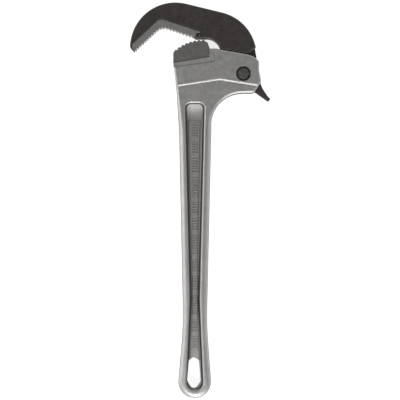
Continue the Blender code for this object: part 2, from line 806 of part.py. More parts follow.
def cam_point(angle):
    """A point of the involute cam that meets the plunger when the hook has turned this far."""
    turn = math.radians(angle)
    contact = Vector((-(CAM_REACH + CAM_BASE * turn), -CAM_BASE))
    x, y = Matrix.Rotation(turn, 2) @ contact
    return (x, y, 0)


def tang_corners():
    """The thin tang in the fork, with its cam and the thumb lever forged in one."""
    cam = [cam_point(angle) for angle in (-9, -4.5, 0, 5, 10, 15, 20, 25, OPEN_ANGLE + 3)]
    return [(-22.0, 34.0, 0), (-21.0, 19.0, 3), (-16.0, 5.0, 6), (-9.9, -5.4, 0.6)] + cam + [
        (-4.5, -17.4, 1.5),
        (4.0, -16.6, 2),
        (13.3, -21.5, 3),
        (26.8, -31.1, 8),
        (29.0, -32.2, 0.6),
        (31.4, -28.8, 0.6),
        (28.3, -26.2, 6),
        (21.4, -15.9, 24),
        (17.4, -2.0, 12),
        (15.0, 19.5, 4),
        (13.4, 29.2, 0),
        (8.0, 34.0, 0),
    ]


def make_hook(parent, material):
    """The hook jaw: thick body, thin tang with its pivot hole, cam and thumb lever."""
    body = loft("hook_jaw", plate_layers(hook_corners(), JAW_THICK, HOOK_EDGE))
    hook = place("hook_jaw", body, material, parent)
    tang = loft("tang", plate_layers(tang_corners(), TANG_THICK, 0.6))
    combine(hook, cutter("tang", tang, parent), "UNION")
    seat = slab("insert_seat", insert_seat_corners(), -JAW_THICK, JAW_THICK, GAP)
    combine(hook, cutter("insert_seat", seat, parent))
    bore = rod("tang_bore", PIN_R + RUN_GAP, JAW_THICK * 2)
    combine(hook, cutter("tang_bore", bore, parent, (0, 0, -JAW_THICK)))
    hole = rod("insert_pin_hole", INSERT_PIN_R + GAP, JAW_THICK * 2, 24)
    x, y = insert_pin_place()
    combine(hook, cutter("insert_pin_hole", hole, parent, (x, y, -JAW_THICK)))
    return hook


def insert_pin_place():
    """The pin lies half in the insert's inner end and half in the hook's lip."""
    bite_outer, bite_inner, back_inner, back_outer = insert_ends()
    return tuple((Vector(bite_inner) + Vector(back_inner)) / 2)


def make_insert(parent, material, pin_material):
    strip = slab("hook_jaw_insert", insert_corners(), -INSERT_THICK / 2, INSERT_THICK / 2)
    insert = place("hook_jaw_insert", strip, material, parent)
    combine(insert, bpy.data.objects["insert_pin_hole"])
    x, y = insert_pin_place()
    length = JAW_THICK - 2 * INSERT_PIN_SINK
    pin = rod("insert_pin", INSERT_PIN_R, length, 24)
    place("insert_pin", pin, pin_material, parent, (x, y, -length / 2))


# ---------------------------------------------------------------- spring and plunger

def coil(name, radius, wire, length, coils):
    """A compression spring that stands on its origin, as one swept round wire."""
    per_coil = 16
    sides = 8
    steps = int(coils * per_coil)
    rise = (length - wire) / steps
    mesh = bmesh.new()
    rings = []
    for i in range(steps + 1):
        angle = 2 * math.pi * i / per_coil
        out = Vector((math.cos(angle), math.sin(angle), 0))
        centre = out * radius + Vector((0, 0, wire / 2 + rise * i))
        ring = []
        for k in range(sides):
            turn = 2 * math.pi * k / sides
            offset = out * math.cos(turn) + Vector((0, 0, math.sin(turn)))
            ring.append(mesh.verts.new((centre + offset * wire / 2) * MM))
        rings.append(ring)
    for lower, upper in zip(rings, rings[1:]):
        for k in range(sides):
            mesh.faces.new((lower[k - 1], lower[k], upper[k], upper[k - 1]))
    mesh.faces.new(rings[0])
    mesh.faces.new(rings[-1])
    return finish_mesh(name, mesh)


def make_spring_and_plunger(parent, spring_material, plunger_material):
    """The plunger rests on the cam; the spring behind it keeps the hook closed."""
    nose = -CAM_REACH - GAP
    tail = nose - PLUNGER_LENGTH
    radius = BORE_R - RUN_GAP
    edge = PLUNGER_CHAMFER
    profile = [(0, 0), (radius - edge, 0), (radius, edge), (radius, PLUNGER_LENGTH - edge),
               (radius - edge, PLUNGER_LENGTH), (0, PLUNGER_LENGTH)]
    place("spring_plunger", turned("spring_plunger", profile, 32), plunger_material, parent,
          (tail, -CAM_BASE, 0), ALONG_X)
    length = tail - GAP - (BORE_END + GAP)
    radius = BORE_R - GAP - SPRING_WIRE / 2 - 0.2
    spring = coil("return_spring", radius, SPRING_WIRE, length, SPRING_COILS)
    place("return_spring", spring, spring_material, parent, (BORE_END + GAP, -CAM_BASE, 0),
          ALONG_X)


# ---------------------------------------------------------------- assembly

def rest_on_origin(frame):
    """Shifts the whole tool so that the origin is its bottom centre."""
    bpy.context.view_layer.update()
    graph = bpy.context.evaluated_depsgraph_get()
    corners = []
    for node in bpy.data.objects:
        if node.type == "MESH" and not node.hide_render:
            shape = node.evaluated_get(graph)
            corners += [shape.matrix_world @ Vector(corner) for corner in shape.bound_box]
    low = Vector([min(corner[i] for corner in corners) for i in range(3)])
    high = Vector([max(corner[i] for corner in corners) for i in range(3)])
    frame.location = (-(low.x + high.x) / 2, -(low.y + high.y) / 2, -low.z)


def main():
    for old in list(bpy.data.objects):
        bpy.data.objects.remove(old, do_unlink=True)
    aluminium = steel("cast_aluminium", ALUMINIUM, 0.42, 1.0)
    heel_steel = steel("heel_steel", JAW_STEEL, 0.5, 0.8)
    insert_steel = steel("insert_steel", JAW_STEEL, 0.45, 0.8)
    black = steel("black_oxide", BLACK_STEEL, 0.5, 0.6)
    pin_steel = steel("pin_steel", PIN_STEEL, 0.4, 0.9)
    spring_steel = steel("spring_steel", SPRING_STEEL, 0.3, 1.0)
    wrench = empty("wrench")
    hook_pivot = empty("hook_pivot", wrench)
    make_handle(wrench, aluminium)
    make_heel_jaw(wrench, heel_steel)
    make_heel_pin(wrench, spring_steel)
    make_pivot(wrench, pin_steel, black, spring_steel)
    make_hook(hook_pivot, black)
    make_insert(hook_pivot, insert_steel, spring_steel)
    make_spring_and_plunger(wrench, spring_steel, pin_steel)
    rest_on_origin(wrench)


main()
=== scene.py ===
"""Looks of the self-adjusting pipe wrench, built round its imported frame.

Every visible solid is drawn finer than its CAD node, in millimetres round the hook's pivot pin,
whose centre is read from the frame. +Y runs up the handle, +X is the pin's side, and +Z faces up.
"""
import math
import random

import bmesh
import bpy
from mathutils import Matrix, Vector


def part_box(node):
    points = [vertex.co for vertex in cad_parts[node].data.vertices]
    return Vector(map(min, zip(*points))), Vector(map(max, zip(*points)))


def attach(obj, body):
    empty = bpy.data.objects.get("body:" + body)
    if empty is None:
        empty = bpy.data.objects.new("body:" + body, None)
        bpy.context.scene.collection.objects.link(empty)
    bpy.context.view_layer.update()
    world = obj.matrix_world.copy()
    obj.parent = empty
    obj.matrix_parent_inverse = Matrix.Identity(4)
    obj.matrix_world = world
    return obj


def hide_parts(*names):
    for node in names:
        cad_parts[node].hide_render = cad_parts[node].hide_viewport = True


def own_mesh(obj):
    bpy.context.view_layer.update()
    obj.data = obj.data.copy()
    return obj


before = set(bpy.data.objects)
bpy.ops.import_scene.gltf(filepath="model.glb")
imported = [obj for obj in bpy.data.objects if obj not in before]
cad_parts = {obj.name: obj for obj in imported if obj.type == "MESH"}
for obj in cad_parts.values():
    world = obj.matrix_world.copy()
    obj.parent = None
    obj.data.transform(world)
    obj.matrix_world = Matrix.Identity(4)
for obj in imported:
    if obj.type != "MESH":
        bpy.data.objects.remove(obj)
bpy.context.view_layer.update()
PIN_LOW, PIN_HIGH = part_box("pivot_pin")
DATUM = (PIN_LOW + PIN_HIGH) / 2
MM = 0.001

# Fits
GAP = 0.3  # still faces that touch on the real tool
RUN_GAP = 0.2  # radial clearance of a part that turns or slides
SHUT_GAP = 0.06  # where a seam looks closed
SWING_GAP = 0.35  # between the hook and the head it swings over

# Head
HEAD_THICK = 30.5  # across the raised cheeks
CHEEK_CROWN = 22.9  # radius of the cheeks' top corner about the pin
TOP_FALL = 10.3  # degrees that the cheeks' top edge falls towards the back
HEAD_TOP = 29.0  # flat top between the heel jaw and the fork
HEAD_LEFT = -81.4  # front edge of the head
LEAN_FOOT = (-77.2, -22.0)  # the front edge leans back to here
PAD_EDGE = 1.75  # rounding of the raised pad
PAD_REACH = 2.9  # how far in from the pad's side its rounding starts
PAD_CORNER_R = 3.1  # its corners seen from the side, no tighter than its rounding
PAD_INSET = 0.15  # the pad stands this far inside the casting's own wall
RIDGE_APEX = (-27.5, -7.9)
RIDGE_LEFT_Y = -15.6
RIDGE_RIGHT = (16.6, -14.9)

# Fork slot, cut through the head from behind
SLOT_WIDTH = 16.0
SLOT_FRONT = -29.4
SLOT_STEP = (-19.0, -4.0)  # front wall of the slot's narrower lower part
SLOT_FLOOR = -18.3
SLOT_END = -4.2  # the floor stops here, and the lever swings in under it

# Neck and grip
NECK_THICK = 27.0
WAIST_THICK = 24.5
NECK_Y = -68.0
GRIP_X = -56.0  # middle of the grip
GRIP_TOP_WIDTH = 37.6
WAIST_WIDTH = 27.5
BUTT_WIDTH = 41.0
BUTT_SHIFT = 0.5  # the butt's middle lies this far in front of the grip's
BUTT_Y = -374.9  # end of the handle
BUTT_FLAT = 0.3  # half the flat left between the butt's two round corners
WAIST_Y = BUTT_Y + 84.9
THROAT_R = 36.0
ARM_UNDER = -23.6
GRIP_EDGE = 6.0  # rounding of the flanges' outer edges
HEAD_EDGE = 3.2  # the same, where the grip meets the head
HEAD_EDGE_Y = -20.0  # above this it is the head's, and at NECK_Y it is the grip's

# Pocket of the I-beam, one on each face
WEB_THICK = 6.8
POCKET_TOP = -34.2
POCKET_SHIFT = 0.2  # the pocket's middle, in front of the grip's
POCKET_TOP_WIDTH = 22.0
POCKET_WAIST_WIDTH = 10.8
POCKET_WAIST_Y = BUTT_Y + 112.9
POCKET_BUTT_WIDTH = 19.4
POCKET_END = BUTT_Y + 9.4
POCKET_END_R = 9.0
POCKET_RIM = 2.3
POCKET_DRAFT = 1.5
POCKET_FLOOR_R = 0.9
PLATE_RISE = 0.8  # raised plate on the web, which starts some way down the pocket
PLATE_TOP = -54.0
PLATE_END = BUTT_Y + 43.9
PLATE_MARGIN = 0.5  # between the plate and the pocket's walls
PLATE_LEAN = 1.6  # how much wider that is at the plate's top right corner

# Hanging eye
EYE_POINT = BUTT_Y + 7.0
EYE_TOP = EYE_POINT + 40.5
EYE_SHOULDER = 4.0  # the eye's pointed top drops this much to its sides
EYE_TOP_WIDTH = 11.6
EYE_WIDTH = 15.6
EYE_WIDEST = EYE_POINT + 12.4
EYE_SHIFT = 1.3  # the eye's middle, in front of the grip's

# Heel jaw and its seat
JAW_THICK = 26.0
FLOOR_LEFT_Y = 12.1
FLOOR_ANGLE = 9.56
HEEL_RIGHT = -39.2
HEEL_SLOPE = 2.2  # the block's back leans in this far above the head's top
HEEL_TOP_Y = 36.0
HEEL_LEFT_Y = 25.2
HEEL_CROWN = (-47.0, -10.3)
HEEL_CROWN_R = 49.2
HEEL_PITCH = 4.8
HEEL_TOOTH = 1.5
BAND_DEPTH = 1.0
BAND_LEFT_Y = 6.8
BAND_ANGLE = 8.0
BAND_RIGHT = -32.2
TONGUE_THICK = 10.0
TONGUE_START = 9.0  # along the seat from its left end
TONGUE_LENGTH = 23.0
TONGUE_DEPTH = 12.0
HEEL_PIN_R = 2.5
HEEL_PIN_Y = 8.8
HEEL_PIN_LENGTH = 36.0
HEEL_PIN_SINK = 0.8
ROLLED_BORE = 0.55  # bore of the rolled pin, as a share of its radius
ROLLED_SLIT = 12  # degrees, half the width of its slit

# Pivot pin, its cheek bushes and retaining rings
PIN_R = 6.0
PIN_SINK = 0.35
GROOVE_DEPTH = 0.6
GROOVE_ROOM = 0.12  # between the ring and each wall of its groove
RING_R = PIN_R + 2.0
RING_THICK = 1.1
RING_OPENING = 5.0  # degrees
RING_SINK = 0.85  # outer face of the ring below the cheek
BUSH_WALL = 1.5
BUSH_EDGE = 0.2
BUSH_SINK = 0.1  # each end of a bush stands back this much
COUNTERBORE_STEP = 0.7  # between the bushes' bore and the wider bore at the face
COUNTERBORE_DEPTH = 2.2

# Hook jaw
TANG_THICK = SLOT_WIDTH - 2 * GAP
TANG_EDGE = 0.6
HOOK_EDGE = 1.6
TIP_X = -131.4
BACK_CORNER = (-125.6, 95.2)
BACK_R = 52.5
NAPE_CORNER = (4.9, 63.4)
NAPE_R = 52.0
THROAT_CORNER = (-30.3, 40.7)
HOOK_THROAT_R = 16.3
LIP_X = -55.2
BEVEL_TOP = (14.4, 30.4)
BEVEL_FOOT_X = 5.3

# Cam on the tang: an involute, so the plunger moves evenly with the hook
CAM_BASE = 11.0  # height of the plunger's axis below the pin
CAM_REACH = 10.0  # from the pin to the cam's face, along that axis
OPEN_ANGLE = 27.0  # degrees from closed to wide open

# Hook jaw's toothed insert, a V-shaped strip
V_CORNER = (-96.7, 63.6)
V_OUTER_ANGLE = 223.0
V_INNER_ANGLE = -18.0
V_OUTER_LENGTH = 43.9
V_INNER_LENGTH = 50.1
V_BACK_R = 9.0
V_BITE_R = 4.0
INSERT_DEPTH = 8.5
INSERT_THICK = 25.0
INSERT_PITCH = 3.9
INSERT_TOOTH = 1.4
OUTER_TEETH = 42.0  # length of the outer arm's teeth
INNER_TEETH = 39.6
TOE = (-128.3, 28.9)  # corner half way up the insert's outer end
INSERT_PIN_R = 2.0
INSERT_PIN_SINK = 0.5
INSERT_PIN_EDGE = 0.35

# Spring and plunger in the neck
BORE_R = 5.0
BORE_END = -56.0
PLUNGER_LENGTH = 19.0
PLUNGER_CHAMFER = 0.8
SPRING_WIRE = 1.2
SPRING_COILS = 8.0

# How far cutters reach past the surfaces that they cut
PAST = 6.0

# Fineness of the round stretches
ARC_ERROR = 0.006
ARC_STEP = math.radians(9)
EDGE_STEPS = 8
ROUND_SIDES = 72

CREASE = math.radians(32)
ALONG_X = (0, math.pi / 2, 0)

# Details that only the looks have
PLATE_EDGE = 0.6
RAMP_R = 62.0  # hollow run-out at the top of the web
RAMP_STEPS = 16
BARS_X = -55.9
BARS_START = -56.5
BARS_END = -318.0
BAR_WIDTH = 6.4
BAR_LENGTH = 1.8
BAR_PITCH = 3.0
BAR_RISE = 0.9
BAR_SLOPE = 0.5  # how far in a bar's sides lean
BAR_SINK = 0.3  # how deep a bar's foot lies in the plate
BAR_GROUPS = (5, 6, 8)  # how many bars a group may have
BAR_SEED = 7

# Studio
FACE_HEIGHT = 0.028  # the faces that fill the view lie at this height
CAMERA_HEIGHT = 3.0  # above those faces
FRAME_WIDTH = 0.4616  # what the view is wide there
CAMERA_AIM = (-0.00022, 0.00046)
FLOOR_RADIUS = 12.0
FLOOR_Z = -0.0004
FLOOR_GLOW = 0.80
SKY = ((0.0, 0.9), (0.05, 0.75), (0.12, 0.40), (0.35, 0.68),  # height and brightness
       (0.62, 0.95), (0.82, 0.34), (1.0, 0.225))
SKY_RIGHT = 0.5  # the sky's brightness on the right, as a share of the left's
SKY_STRENGTH = 1.0
SOFTBOXES = (  # name, place, size and power
    ("left_softbox", (-1.6, 0.1, 0.9), (1.4, 1.6), 9.0),
    ("near_softbox", (0.3, -1.7, 0.7), (1.6, 1.2), 16.0),
    ("right_softbox", (1.7, 0.3, 0.8), (1.2, 1.6), 3.0),
    ("top_softbox", (-0.2, -1.5, 2.4), (1.0, 1.0), 5.0),
    ("end_softbox", (-0.15, -0.62, 0.75), (0.4, 0.4), 2.0),
)


# ---- outlines

def rounded(corners, grow=0.0):
    """Points round a counter-clockwise outline of (x, y, radius) corners, grown outward."""
    points = []
    for i, (x, y, radius) in enumerate(corners):
        here = Vector((x, y))
        arrive = (here - Vector(corners[i - 1][:2])).normalized()
        leave = (Vector(corners[(i + 1) % len(corners)][:2]) - here).normalized()
        turn = math.atan2(arrive.x * leave.y - arrive.y * leave.x, arrive.dot(leave))
        outward = Vector((arrive.y + leave.y, -arrive.x - leave.x))
        corner = here + outward * grow / (1 + arrive.dot(leave))
        if radius == 0:
            points.append(corner)
            continue
        side = math.copysign(1, turn)
        bend = max(radius + grow * side, 0.05)
        start = corner - arrive * bend * math.tan(abs(turn) / 2)
        centre = start + Vector((-arrive.y, arrive.x)) * bend * side
        step = min(2 * math.acos(1 - ARC_ERROR / max(radius, 0.1)), ARC_STEP)
        count = max(1, math.ceil(abs(turn) / step))
        for k in range(count + 1):
            points.append(centre + Matrix.Rotation(turn * k / count, 2) @ (start - centre))
    return points


def arc(centre, radius, start, end, count):
    """Sharp corners spread evenly along an arc between two angles in degrees."""
    angles = [math.radians(start + (end - start) * k / count) for k in range(count + 1)]
    return [(centre[0] + radius * math.cos(a), centre[1] + radius * math.sin(a), 0)
            for a in angles]


def quarter(steps):
    """1 - sine and 1 - cosine of angles that are spread evenly over a quarter turn."""
    angles = [math.pi / 2 * k / steps for k in range(steps + 1)]
    return [(1 - math.sin(a), 1 - math.cos(a)) for a in angles]


def toward(point, angle, distance):
    """The place at a distance from a point, in a direction given in degrees."""
    return (point[0] + distance * math.cos(math.radians(angle)),
            point[1] + distance * math.sin(math.radians(angle)))


def tooth_row(start, end, pitch, depth):
    """Corners of the ratchet teeth cut into the straight run from start to end."""
    run = Vector(end) - Vector(start)
    count = max(1, round(run.length / pitch))
    step = run / count
    root = Vector((-step.y, step.x)).normalized() * depth
    corners = []
    for i in range(count):
        foot = Vector(start) + step * i
        corners.append((*(foot + root), 0))
        corners.append((*(foot + step * 0.45), 0))
        corners.append((*(foot + step * 0.7), 0))
    return corners


def tooth_arc(centre, radius, start, end, pitch, depth):
    """Corners of the teeth cut into an arc that runs counter-clockwise, in degrees."""
    sweep = math.radians(end - start)
    count = max(1, round(radius * sweep / pitch))
    corners = []
    for i in range(count):
        for part, reach in ((0.0, radius - depth), (0.35, radius), (0.6, radius)):
            angle = math.radians(start) + sweep * (i + part) / count
            corners.append((centre[0] + reach * math.cos(angle),
                            centre[1] + reach * math.sin(angle), 0))
    return corners


# ---- meshes

def finish_mesh(name, mesh):
    """The Blender mesh of a bmesh, its faces pointing out."""
    bmesh.ops.recalc_face_normals(mesh, faces=mesh.faces)
    if mesh.calc_volume(signed=True) < 0:
        bmesh.ops.reverse_faces(mesh, faces=mesh.faces)
    data = bpy.data.meshes.new(name)
    mesh.to_mesh(data)
    mesh.free()
    return data


def loft(name, layers):
    """A closed mesh through (points, height) layers that all have the same count."""
    return skin(name, [[(x, y, z) for x, y in points] for points, z in layers])


def bridge(mesh, rings):
    """Joins rings of vertices that all have the same count, and closes the two ends."""
    for lower, upper in zip(rings, rings[1:]):
        for i in range(len(lower)):
            mesh.faces.new((lower[i - 1], lower[i], upper[i], upper[i - 1]))
    mesh.faces.new(rings[0])
    mesh.faces.new(rings[-1])


def skin(name, layers):
    """A closed mesh through layers of (x, y, z) points that all have the same count."""
    mesh = bmesh.new()
    bridge(mesh, [[mesh.verts.new(Vector(point) * MM) for point in points] for points in layers])
    return finish_mesh(name, mesh)


def plate_layers(corners, thickness, edge, inset=0.0, reach=None, steps=EDGE_STEPS):
    """Layers of a plate centred on the mid-plane, with both rims rounded to a depth and reach."""
    reach = reach or edge
    upper = [(rounded(corners, -inset - reach * inward), thickness / 2 - edge * drop)
             for inward, drop in quarter(steps)]
    lower = [(points, -z) for points, z in upper]
    return lower + upper[::-1]


def slab(name, corners, low, high, grow=0.0, chamfer=0.0):
    """An extrusion of an outline between two heights, its rims chamfered if asked."""
    points = rounded(corners, grow)
    if not chamfer:
        return loft(name, [(points, low), (points, high)])
    inner = rounded(corners, grow - chamfer)
    return loft(name, [(inner, low), (points, low + chamfer),
                       (points, high - chamfer), (inner, high)])


def turned(name, profile, sides=ROUND_SIDES):
    """A solid or hollow round part from a closed (radius, height) profile about Z."""
    mesh = bmesh.new()
    rings = []
    for radius, height in profile:
        if radius == 0:
            rings.append([mesh.verts.new((0, 0, height * MM))] * sides)
            continue
        angles = [2 * math.pi * k / sides for k in range(sides)]
        rings.append([mesh.verts.new((radius * MM * math.cos(a), radius * MM * math.sin(a),
                                      height * MM)) for a in angles])
    pairs = list(zip(rings, rings[1:]))
    if profile[0][0] > 0:
        pairs.append((rings[-1], rings[0]))
    for lower, upper in pairs:
        for k in range(sides):
            quad = (lower[k - 1], lower[k], upper[k], upper[k - 1])
            mesh.faces.new(list(dict.fromkeys(quad)))
    return finish_mesh(name, mesh)


def show(name, data):
    """Adds an object with this data to the scene."""
    thing = bpy.data.objects.new(name, data)
    bpy.context.scene.collection.objects.link(thing)
    return thing


def place(name, data, location=(0, 0, 0), turn=None):
    """Puts a mesh into the scene, in millimetres of the pin's datum."""
    piece = show(name, data)
    piece.location = DATUM + Vector(location) * MM
    if turn:
        piece.rotation_euler = turn
    return piece


def combine(piece, name, data, *where, operation="DIFFERENCE"):
    """Adds a Boolean step to a piece, with a hidden shape that only takes part in that."""
    tool = place(name, data, *where)
    tool.hide_render = True
    step = piece.modifiers.new(tool.name, "BOOLEAN")
    step.operation = operation
    step.solver = "EXACT"
    step.object = tool


def unite(piece, name, data):
    """Adds a shape to a piece."""
    combine(piece, name, data, operation="UNION")


def cut_slab(piece, name, *sizes):
    """Cuts an extruded outline out of a piece."""
    combine(piece, name, slab(name, *sizes))


def settle(piece, material, body, slot, *nodes):
    """Turns a piece's steps into its final mesh and lets it stand for its CAD nodes."""
    bpy.context.view_layer.update()
    graph = bpy.context.evaluated_depsgraph_get()
    made = bpy.data.meshes.new_from_object(piece.evaluated_get(graph))
    tools = [step.object for step in piece.modifiers]
    piece.modifiers.clear()
    piece.data = made
    for tool in tools:
        bpy.data.objects.remove(tool, do_unlink=True)
    made.materials.clear()
    made.materials.append(material)
    made.shade_smooth()
    made.set_sharp_from_angle(angle=CREASE)
    weight = piece.modifiers.new("weighted", "WEIGHTED_NORMAL")
    weight.keep_sharp = True
    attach(piece, body)
    if nodes:
        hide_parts(*nodes)
    return piece


def fit(name, make, sizes, material, body, slot, node, *where):
    """Makes, places and settles a piece that has no Boolean steps."""
    return settle(place(name, make(name, *sizes), *where), material, body, slot, node)


# ---- materials

class Nodes:
    """A node tree, with short calls to add and join its nodes."""

    SETTINGS = ("operation", "data_type", "wave_type", "rings_direction", "samples", "clamp")

    def __init__(self, tree):
        self.tree = tree

    def feed(self, socket, value):
        """Joins an output to a socket, or sets the socket to a number or a plain triple."""
        if hasattr(value, "is_output"):
            self.tree.links.new(value, socket)
        elif socket.type == "RGBA":
            socket.default_value = (*value, 1.0)
        else:
            socket.default_value = value

    def fill(self, node, **values):
        """Sets a node's settings, and feeds the inputs whose names the other values have."""
        for key, value in values.items():
            if key in self.SETTINGS:
                setattr(node, key, value)
            else:
                self.feed(node.inputs[key.replace("_", " ").title()], value)
        return node

    def add(self, kind, *inputs, **values):
        """Adds a node, with its first inputs in order and the rest by name."""
        node = self.fill(self.tree.nodes.new(kind), **values)
        for socket, value in zip(node.inputs, inputs):
            self.feed(socket, value)
        return node

    def spread(self, value, low=0.0, high=1.0, start=0.3, end=0.7):
        """Maps start..end of a value to low..high, held at both ends."""
        node = self.add("ShaderNodeMapRange", clamp=True, value=value,
                        from_min=start, from_max=end, to_min=low, to_max=high)
        return node.outputs["Result"]


class Shade(Nodes):
    """A material's node tree, in the coordinates of the part that wears it."""

    def __init__(self, name, metallic, specular=0.5, tint=1.0):
        self.material = bpy.data.materials.new(name)
        self.material.use_nodes = True
        super().__init__(self.material.node_tree)
        self.shader = self.tree.nodes["Principled BSDF"]
        self.fill(self.shader, metallic=metallic, specular_tint=(tint,) * 3)
        self.shader.inputs["Specular IOR Level"].default_value = specular
        own = self.add("ShaderNodeTexCoord").outputs
        self.coords = own["Object"]
        self.normal = own["Normal"]

    def stretched(self, x, y, z):
        """Coordinates that are scaled along each axis."""
        return self.add("ShaderNodeMapping", vector=self.coords, scale=(x, y, z)).outputs[0]

    def noise(self, size, detail=2.0, vector=None):
        """Noise with features of about this size in millimetres, about 0.5."""
        node = self.add("ShaderNodeTexNoise", vector=vector or self.coords,
                        scale=1 / (size * MM), detail=detail)
        return node.outputs["Fac"]

    def mix(self, share, first, second):
        """Mixes two colours, each a socket or a plain triple."""
        node = self.add("ShaderNodeMix", data_type="RGBA")
        for slot, value in ((0, share), (6, first), (7, second)):
            self.feed(node.inputs[slot], value)
        return node.outputs[2]

    def maths(self, operation, first, second=0.0):
        return self.add("ShaderNodeMath", first, second, operation=operation).outputs[0]

    def edges(self, radius):
        """1 on outer edges within a radius in millimetres, 0 on open faces."""
        bevel = self.add("ShaderNodeBevel", samples=6, radius=radius * MM)
        flat = self.add("ShaderNodeNewGeometry").outputs["Normal"]
        dot = self.add("ShaderNodeVectorMath", bevel.outputs[0], flat, operation="DOT_PRODUCT")
        return self.spread(dot.outputs["Value"], 1.0, 0.0, 0.75, 0.995)

    def facing(self, start, end):
        """1 where a surface faces up or down, 0 on its sides, from the part's own normal."""
        height = self.add("ShaderNodeSeparateXYZ", self.normal).outputs["Z"]
        return self.spread(self.maths("ABSOLUTE", height), 0.0, 1.0, start, end)

    def crevices(self, reach):
        """0 deep in a hollow, 1 on open faces, looking this many millimetres around."""
        node = self.add("ShaderNodeAmbientOcclusion", samples=8, distance=reach * MM)
        return self.spread(node.outputs["AO"], 0.0, 1.0, 0.25, 0.95)

    def finish(self, colour, roughness, height, depth, soften=0.25):
        """Joins the colour, the roughness and a bump of this depth in millimetres."""
        bevel = self.add("ShaderNodeBevel", samples=4, radius=soften * MM)
        bump = self.add("ShaderNodeBump", strength=1.0, distance=depth * MM, height=height,
                        normal=bevel.outputs[0])
        self.fill(self.shader, base_color=colour, roughness=roughness, normal=bump.outputs[0])
        return self.material


def cast_aluminium():
    """Tumbled casting: fine sand grain, cloudy oxide, brighter rubbed edges, painted shade in
    hollows and seams, and painted shade on steep open sides.
    """
    s = Shade("cast_aluminium", metallic=1.0, tint=0.12)
    cloud = s.spread(s.noise(14, 3))
    colour = s.mix(cloud, (0.40, 0.395, 0.385), (0.47, 0.465, 0.455))
    speck = s.spread(s.noise(0.9, 3), 0, 1, 0.42, 0.72)
    colour = s.mix(speck, colour, (0.50, 0.495, 0.49))
    # painted shade: darker in hollows, from ambient occlusion
    hollow = s.crevices(7)
    colour = s.mix(hollow, (0.29, 0.278, 0.27), colour)
    # painted shadow: dark lines along narrow steps and seams
    seam_shadow = s.crevices(1.4)
    colour = s.mix(seam_shadow, (0.15, 0.145, 0.14), colour)
    rubbed = s.edges(0.6)
    colour = s.mix(rubbed, colour, (0.54, 0.535, 0.53))
    # painted shade: steep open sides darkened, standing in for dark reflections along the outline;
    # steep sides in hollows keep about their own tone
    painted_side_shade = s.mix(s.crevices(16), (0.46, 0.45, 0.44), (0.20, 0.196, 0.19))
    colour = s.mix(s.facing(0.12, 0.55), painted_side_shade, colour)
    rough = s.spread(s.noise(5, 4), 0.40, 0.50)
    rough = s.maths("SUBTRACT", rough, s.maths("MULTIPLY", rubbed, 0.08))
    grain = s.maths("ADD", s.noise(0.8, 3), s.maths("MULTIPLY", s.noise(3.2, 2), 0.8))
    return s.finish(colour, rough, grain, 0.045, soften=0.35)


def black_oxide():
    """Forged steel under a thin black finish: edges lighter, partly real rubbing and partly a
    painted highlight, and steep sides lighter as a painted highlight.
    """
    s = Shade("black_oxide_steel", metallic=0.9)
    cloud = s.spread(s.noise(11, 4))
    colour = s.mix(cloud, (0.070, 0.062, 0.060), (0.092, 0.083, 0.080))
    # edges lighter: partly real rubbing through the black finish, partly a painted highlight
    rubbed = s.maths("MULTIPLY", s.edges(0.7), s.spread(s.noise(2.2, 3), 0.35, 1.0))
    colour = s.mix(rubbed, colour, (0.34, 0.33, 0.325))
    # painted highlight: steep sides lighter than the flat faces
    colour = s.mix(s.facing(0.35, 0.93), (0.14, 0.132, 0.128), colour)
    rough = s.spread(s.noise(4, 4), 0.40, 0.54)
    scale = s.maths("ADD", s.noise(1.1, 3), s.noise(4.5, 3))
    return s.finish(colour, rough, scale, 0.035, soften=0.3)


def jaw_steel(name, dark, light):
    """Hardened steel with fine grinding lines, grey where it bites."""
    s = Shade(name, metallic=1.0)
    lines = s.noise(1.0, 3, s.stretched(0.12, 3.5, 1.0))
    colour = s.mix(s.spread(lines), dark, light)
    cloud = s.spread(s.noise(7, 3), 0, 0.35)
    colour = s.mix(cloud, colour, tuple(0.72 * c for c in dark))
    rubbed = s.edges(0.35)
    colour = s.mix(rubbed, colour, (0.62, 0.61, 0.60))
    rough = s.spread(s.noise(2.5, 3), 0.40, 0.52)
    return s.finish(colour, rough, lines, 0.02, soften=0.15)


def turned_steel(name, dark, light, rough_low, rough_high):
    """Pin steel with the rings that a lathe leaves round its axis."""
    s = Shade(name, metallic=1.0)
    wave = s.add("ShaderNodeTexWave", wave_type="RINGS", rings_direction="Z",
                 vector=s.coords, scale=700.0, distortion=1.5, detail=2.0)
    colour = s.mix(s.spread(s.noise(2.4, 4)), dark, light)
    rubbed = s.edges(0.4)
    colour = s.mix(rubbed, colour, (0.42, 0.415, 0.41))
    rough = s.spread(s.noise(1.6, 3), rough_low, rough_high)
    return s.finish(colour, rough, wave.outputs["Fac"], 0.012, soften=0.15)


def spring_wire():
    """Bright drawn wire with faint die marks."""
    s = Shade("spring_wire", metallic=1.0)
    colour = s.mix(s.spread(s.noise(1.2, 3)), (0.36, 0.355, 0.36), (0.50, 0.50, 0.51))
    rough = s.spread(s.noise(0.8, 3), 0.24, 0.36)
    return s.finish(colour, rough, s.noise(0.5, 2), 0.006, soften=0.1)


def floor_paint():
    """Pale, matt floor that glows a little, with the faintest unevenness."""
    s = Shade("studio_floor", metallic=0.0, specular=0.1)
    colour = s.mix(s.spread(s.noise(180)), (0.60, 0.60, 0.60), (0.62, 0.62, 0.62))
    s.fill(s.shader, base_color=colour, roughness=s.spread(s.noise(60), 0.75, 0.85),
           emission_color=(1, 1, 1), emission_strength=FLOOR_GLOW)
    return s.material


# ---- pieces

def front_edge_x(y):
    """The head's front edge, which leans back towards the neck."""
    share = (FLOOR_LEFT_Y - y) / (FLOOR_LEFT_Y - LEAN_FOOT[1])
    return HEAD_LEFT + share * (LEAN_FOOT[0] - HEAD_LEFT)


def seat_y(x):
    """The heel jaw's seat, which rises towards the fork."""
    return FLOOR_LEFT_Y + math.tan(math.radians(FLOOR_ANGLE)) * (x - HEAD_LEFT)


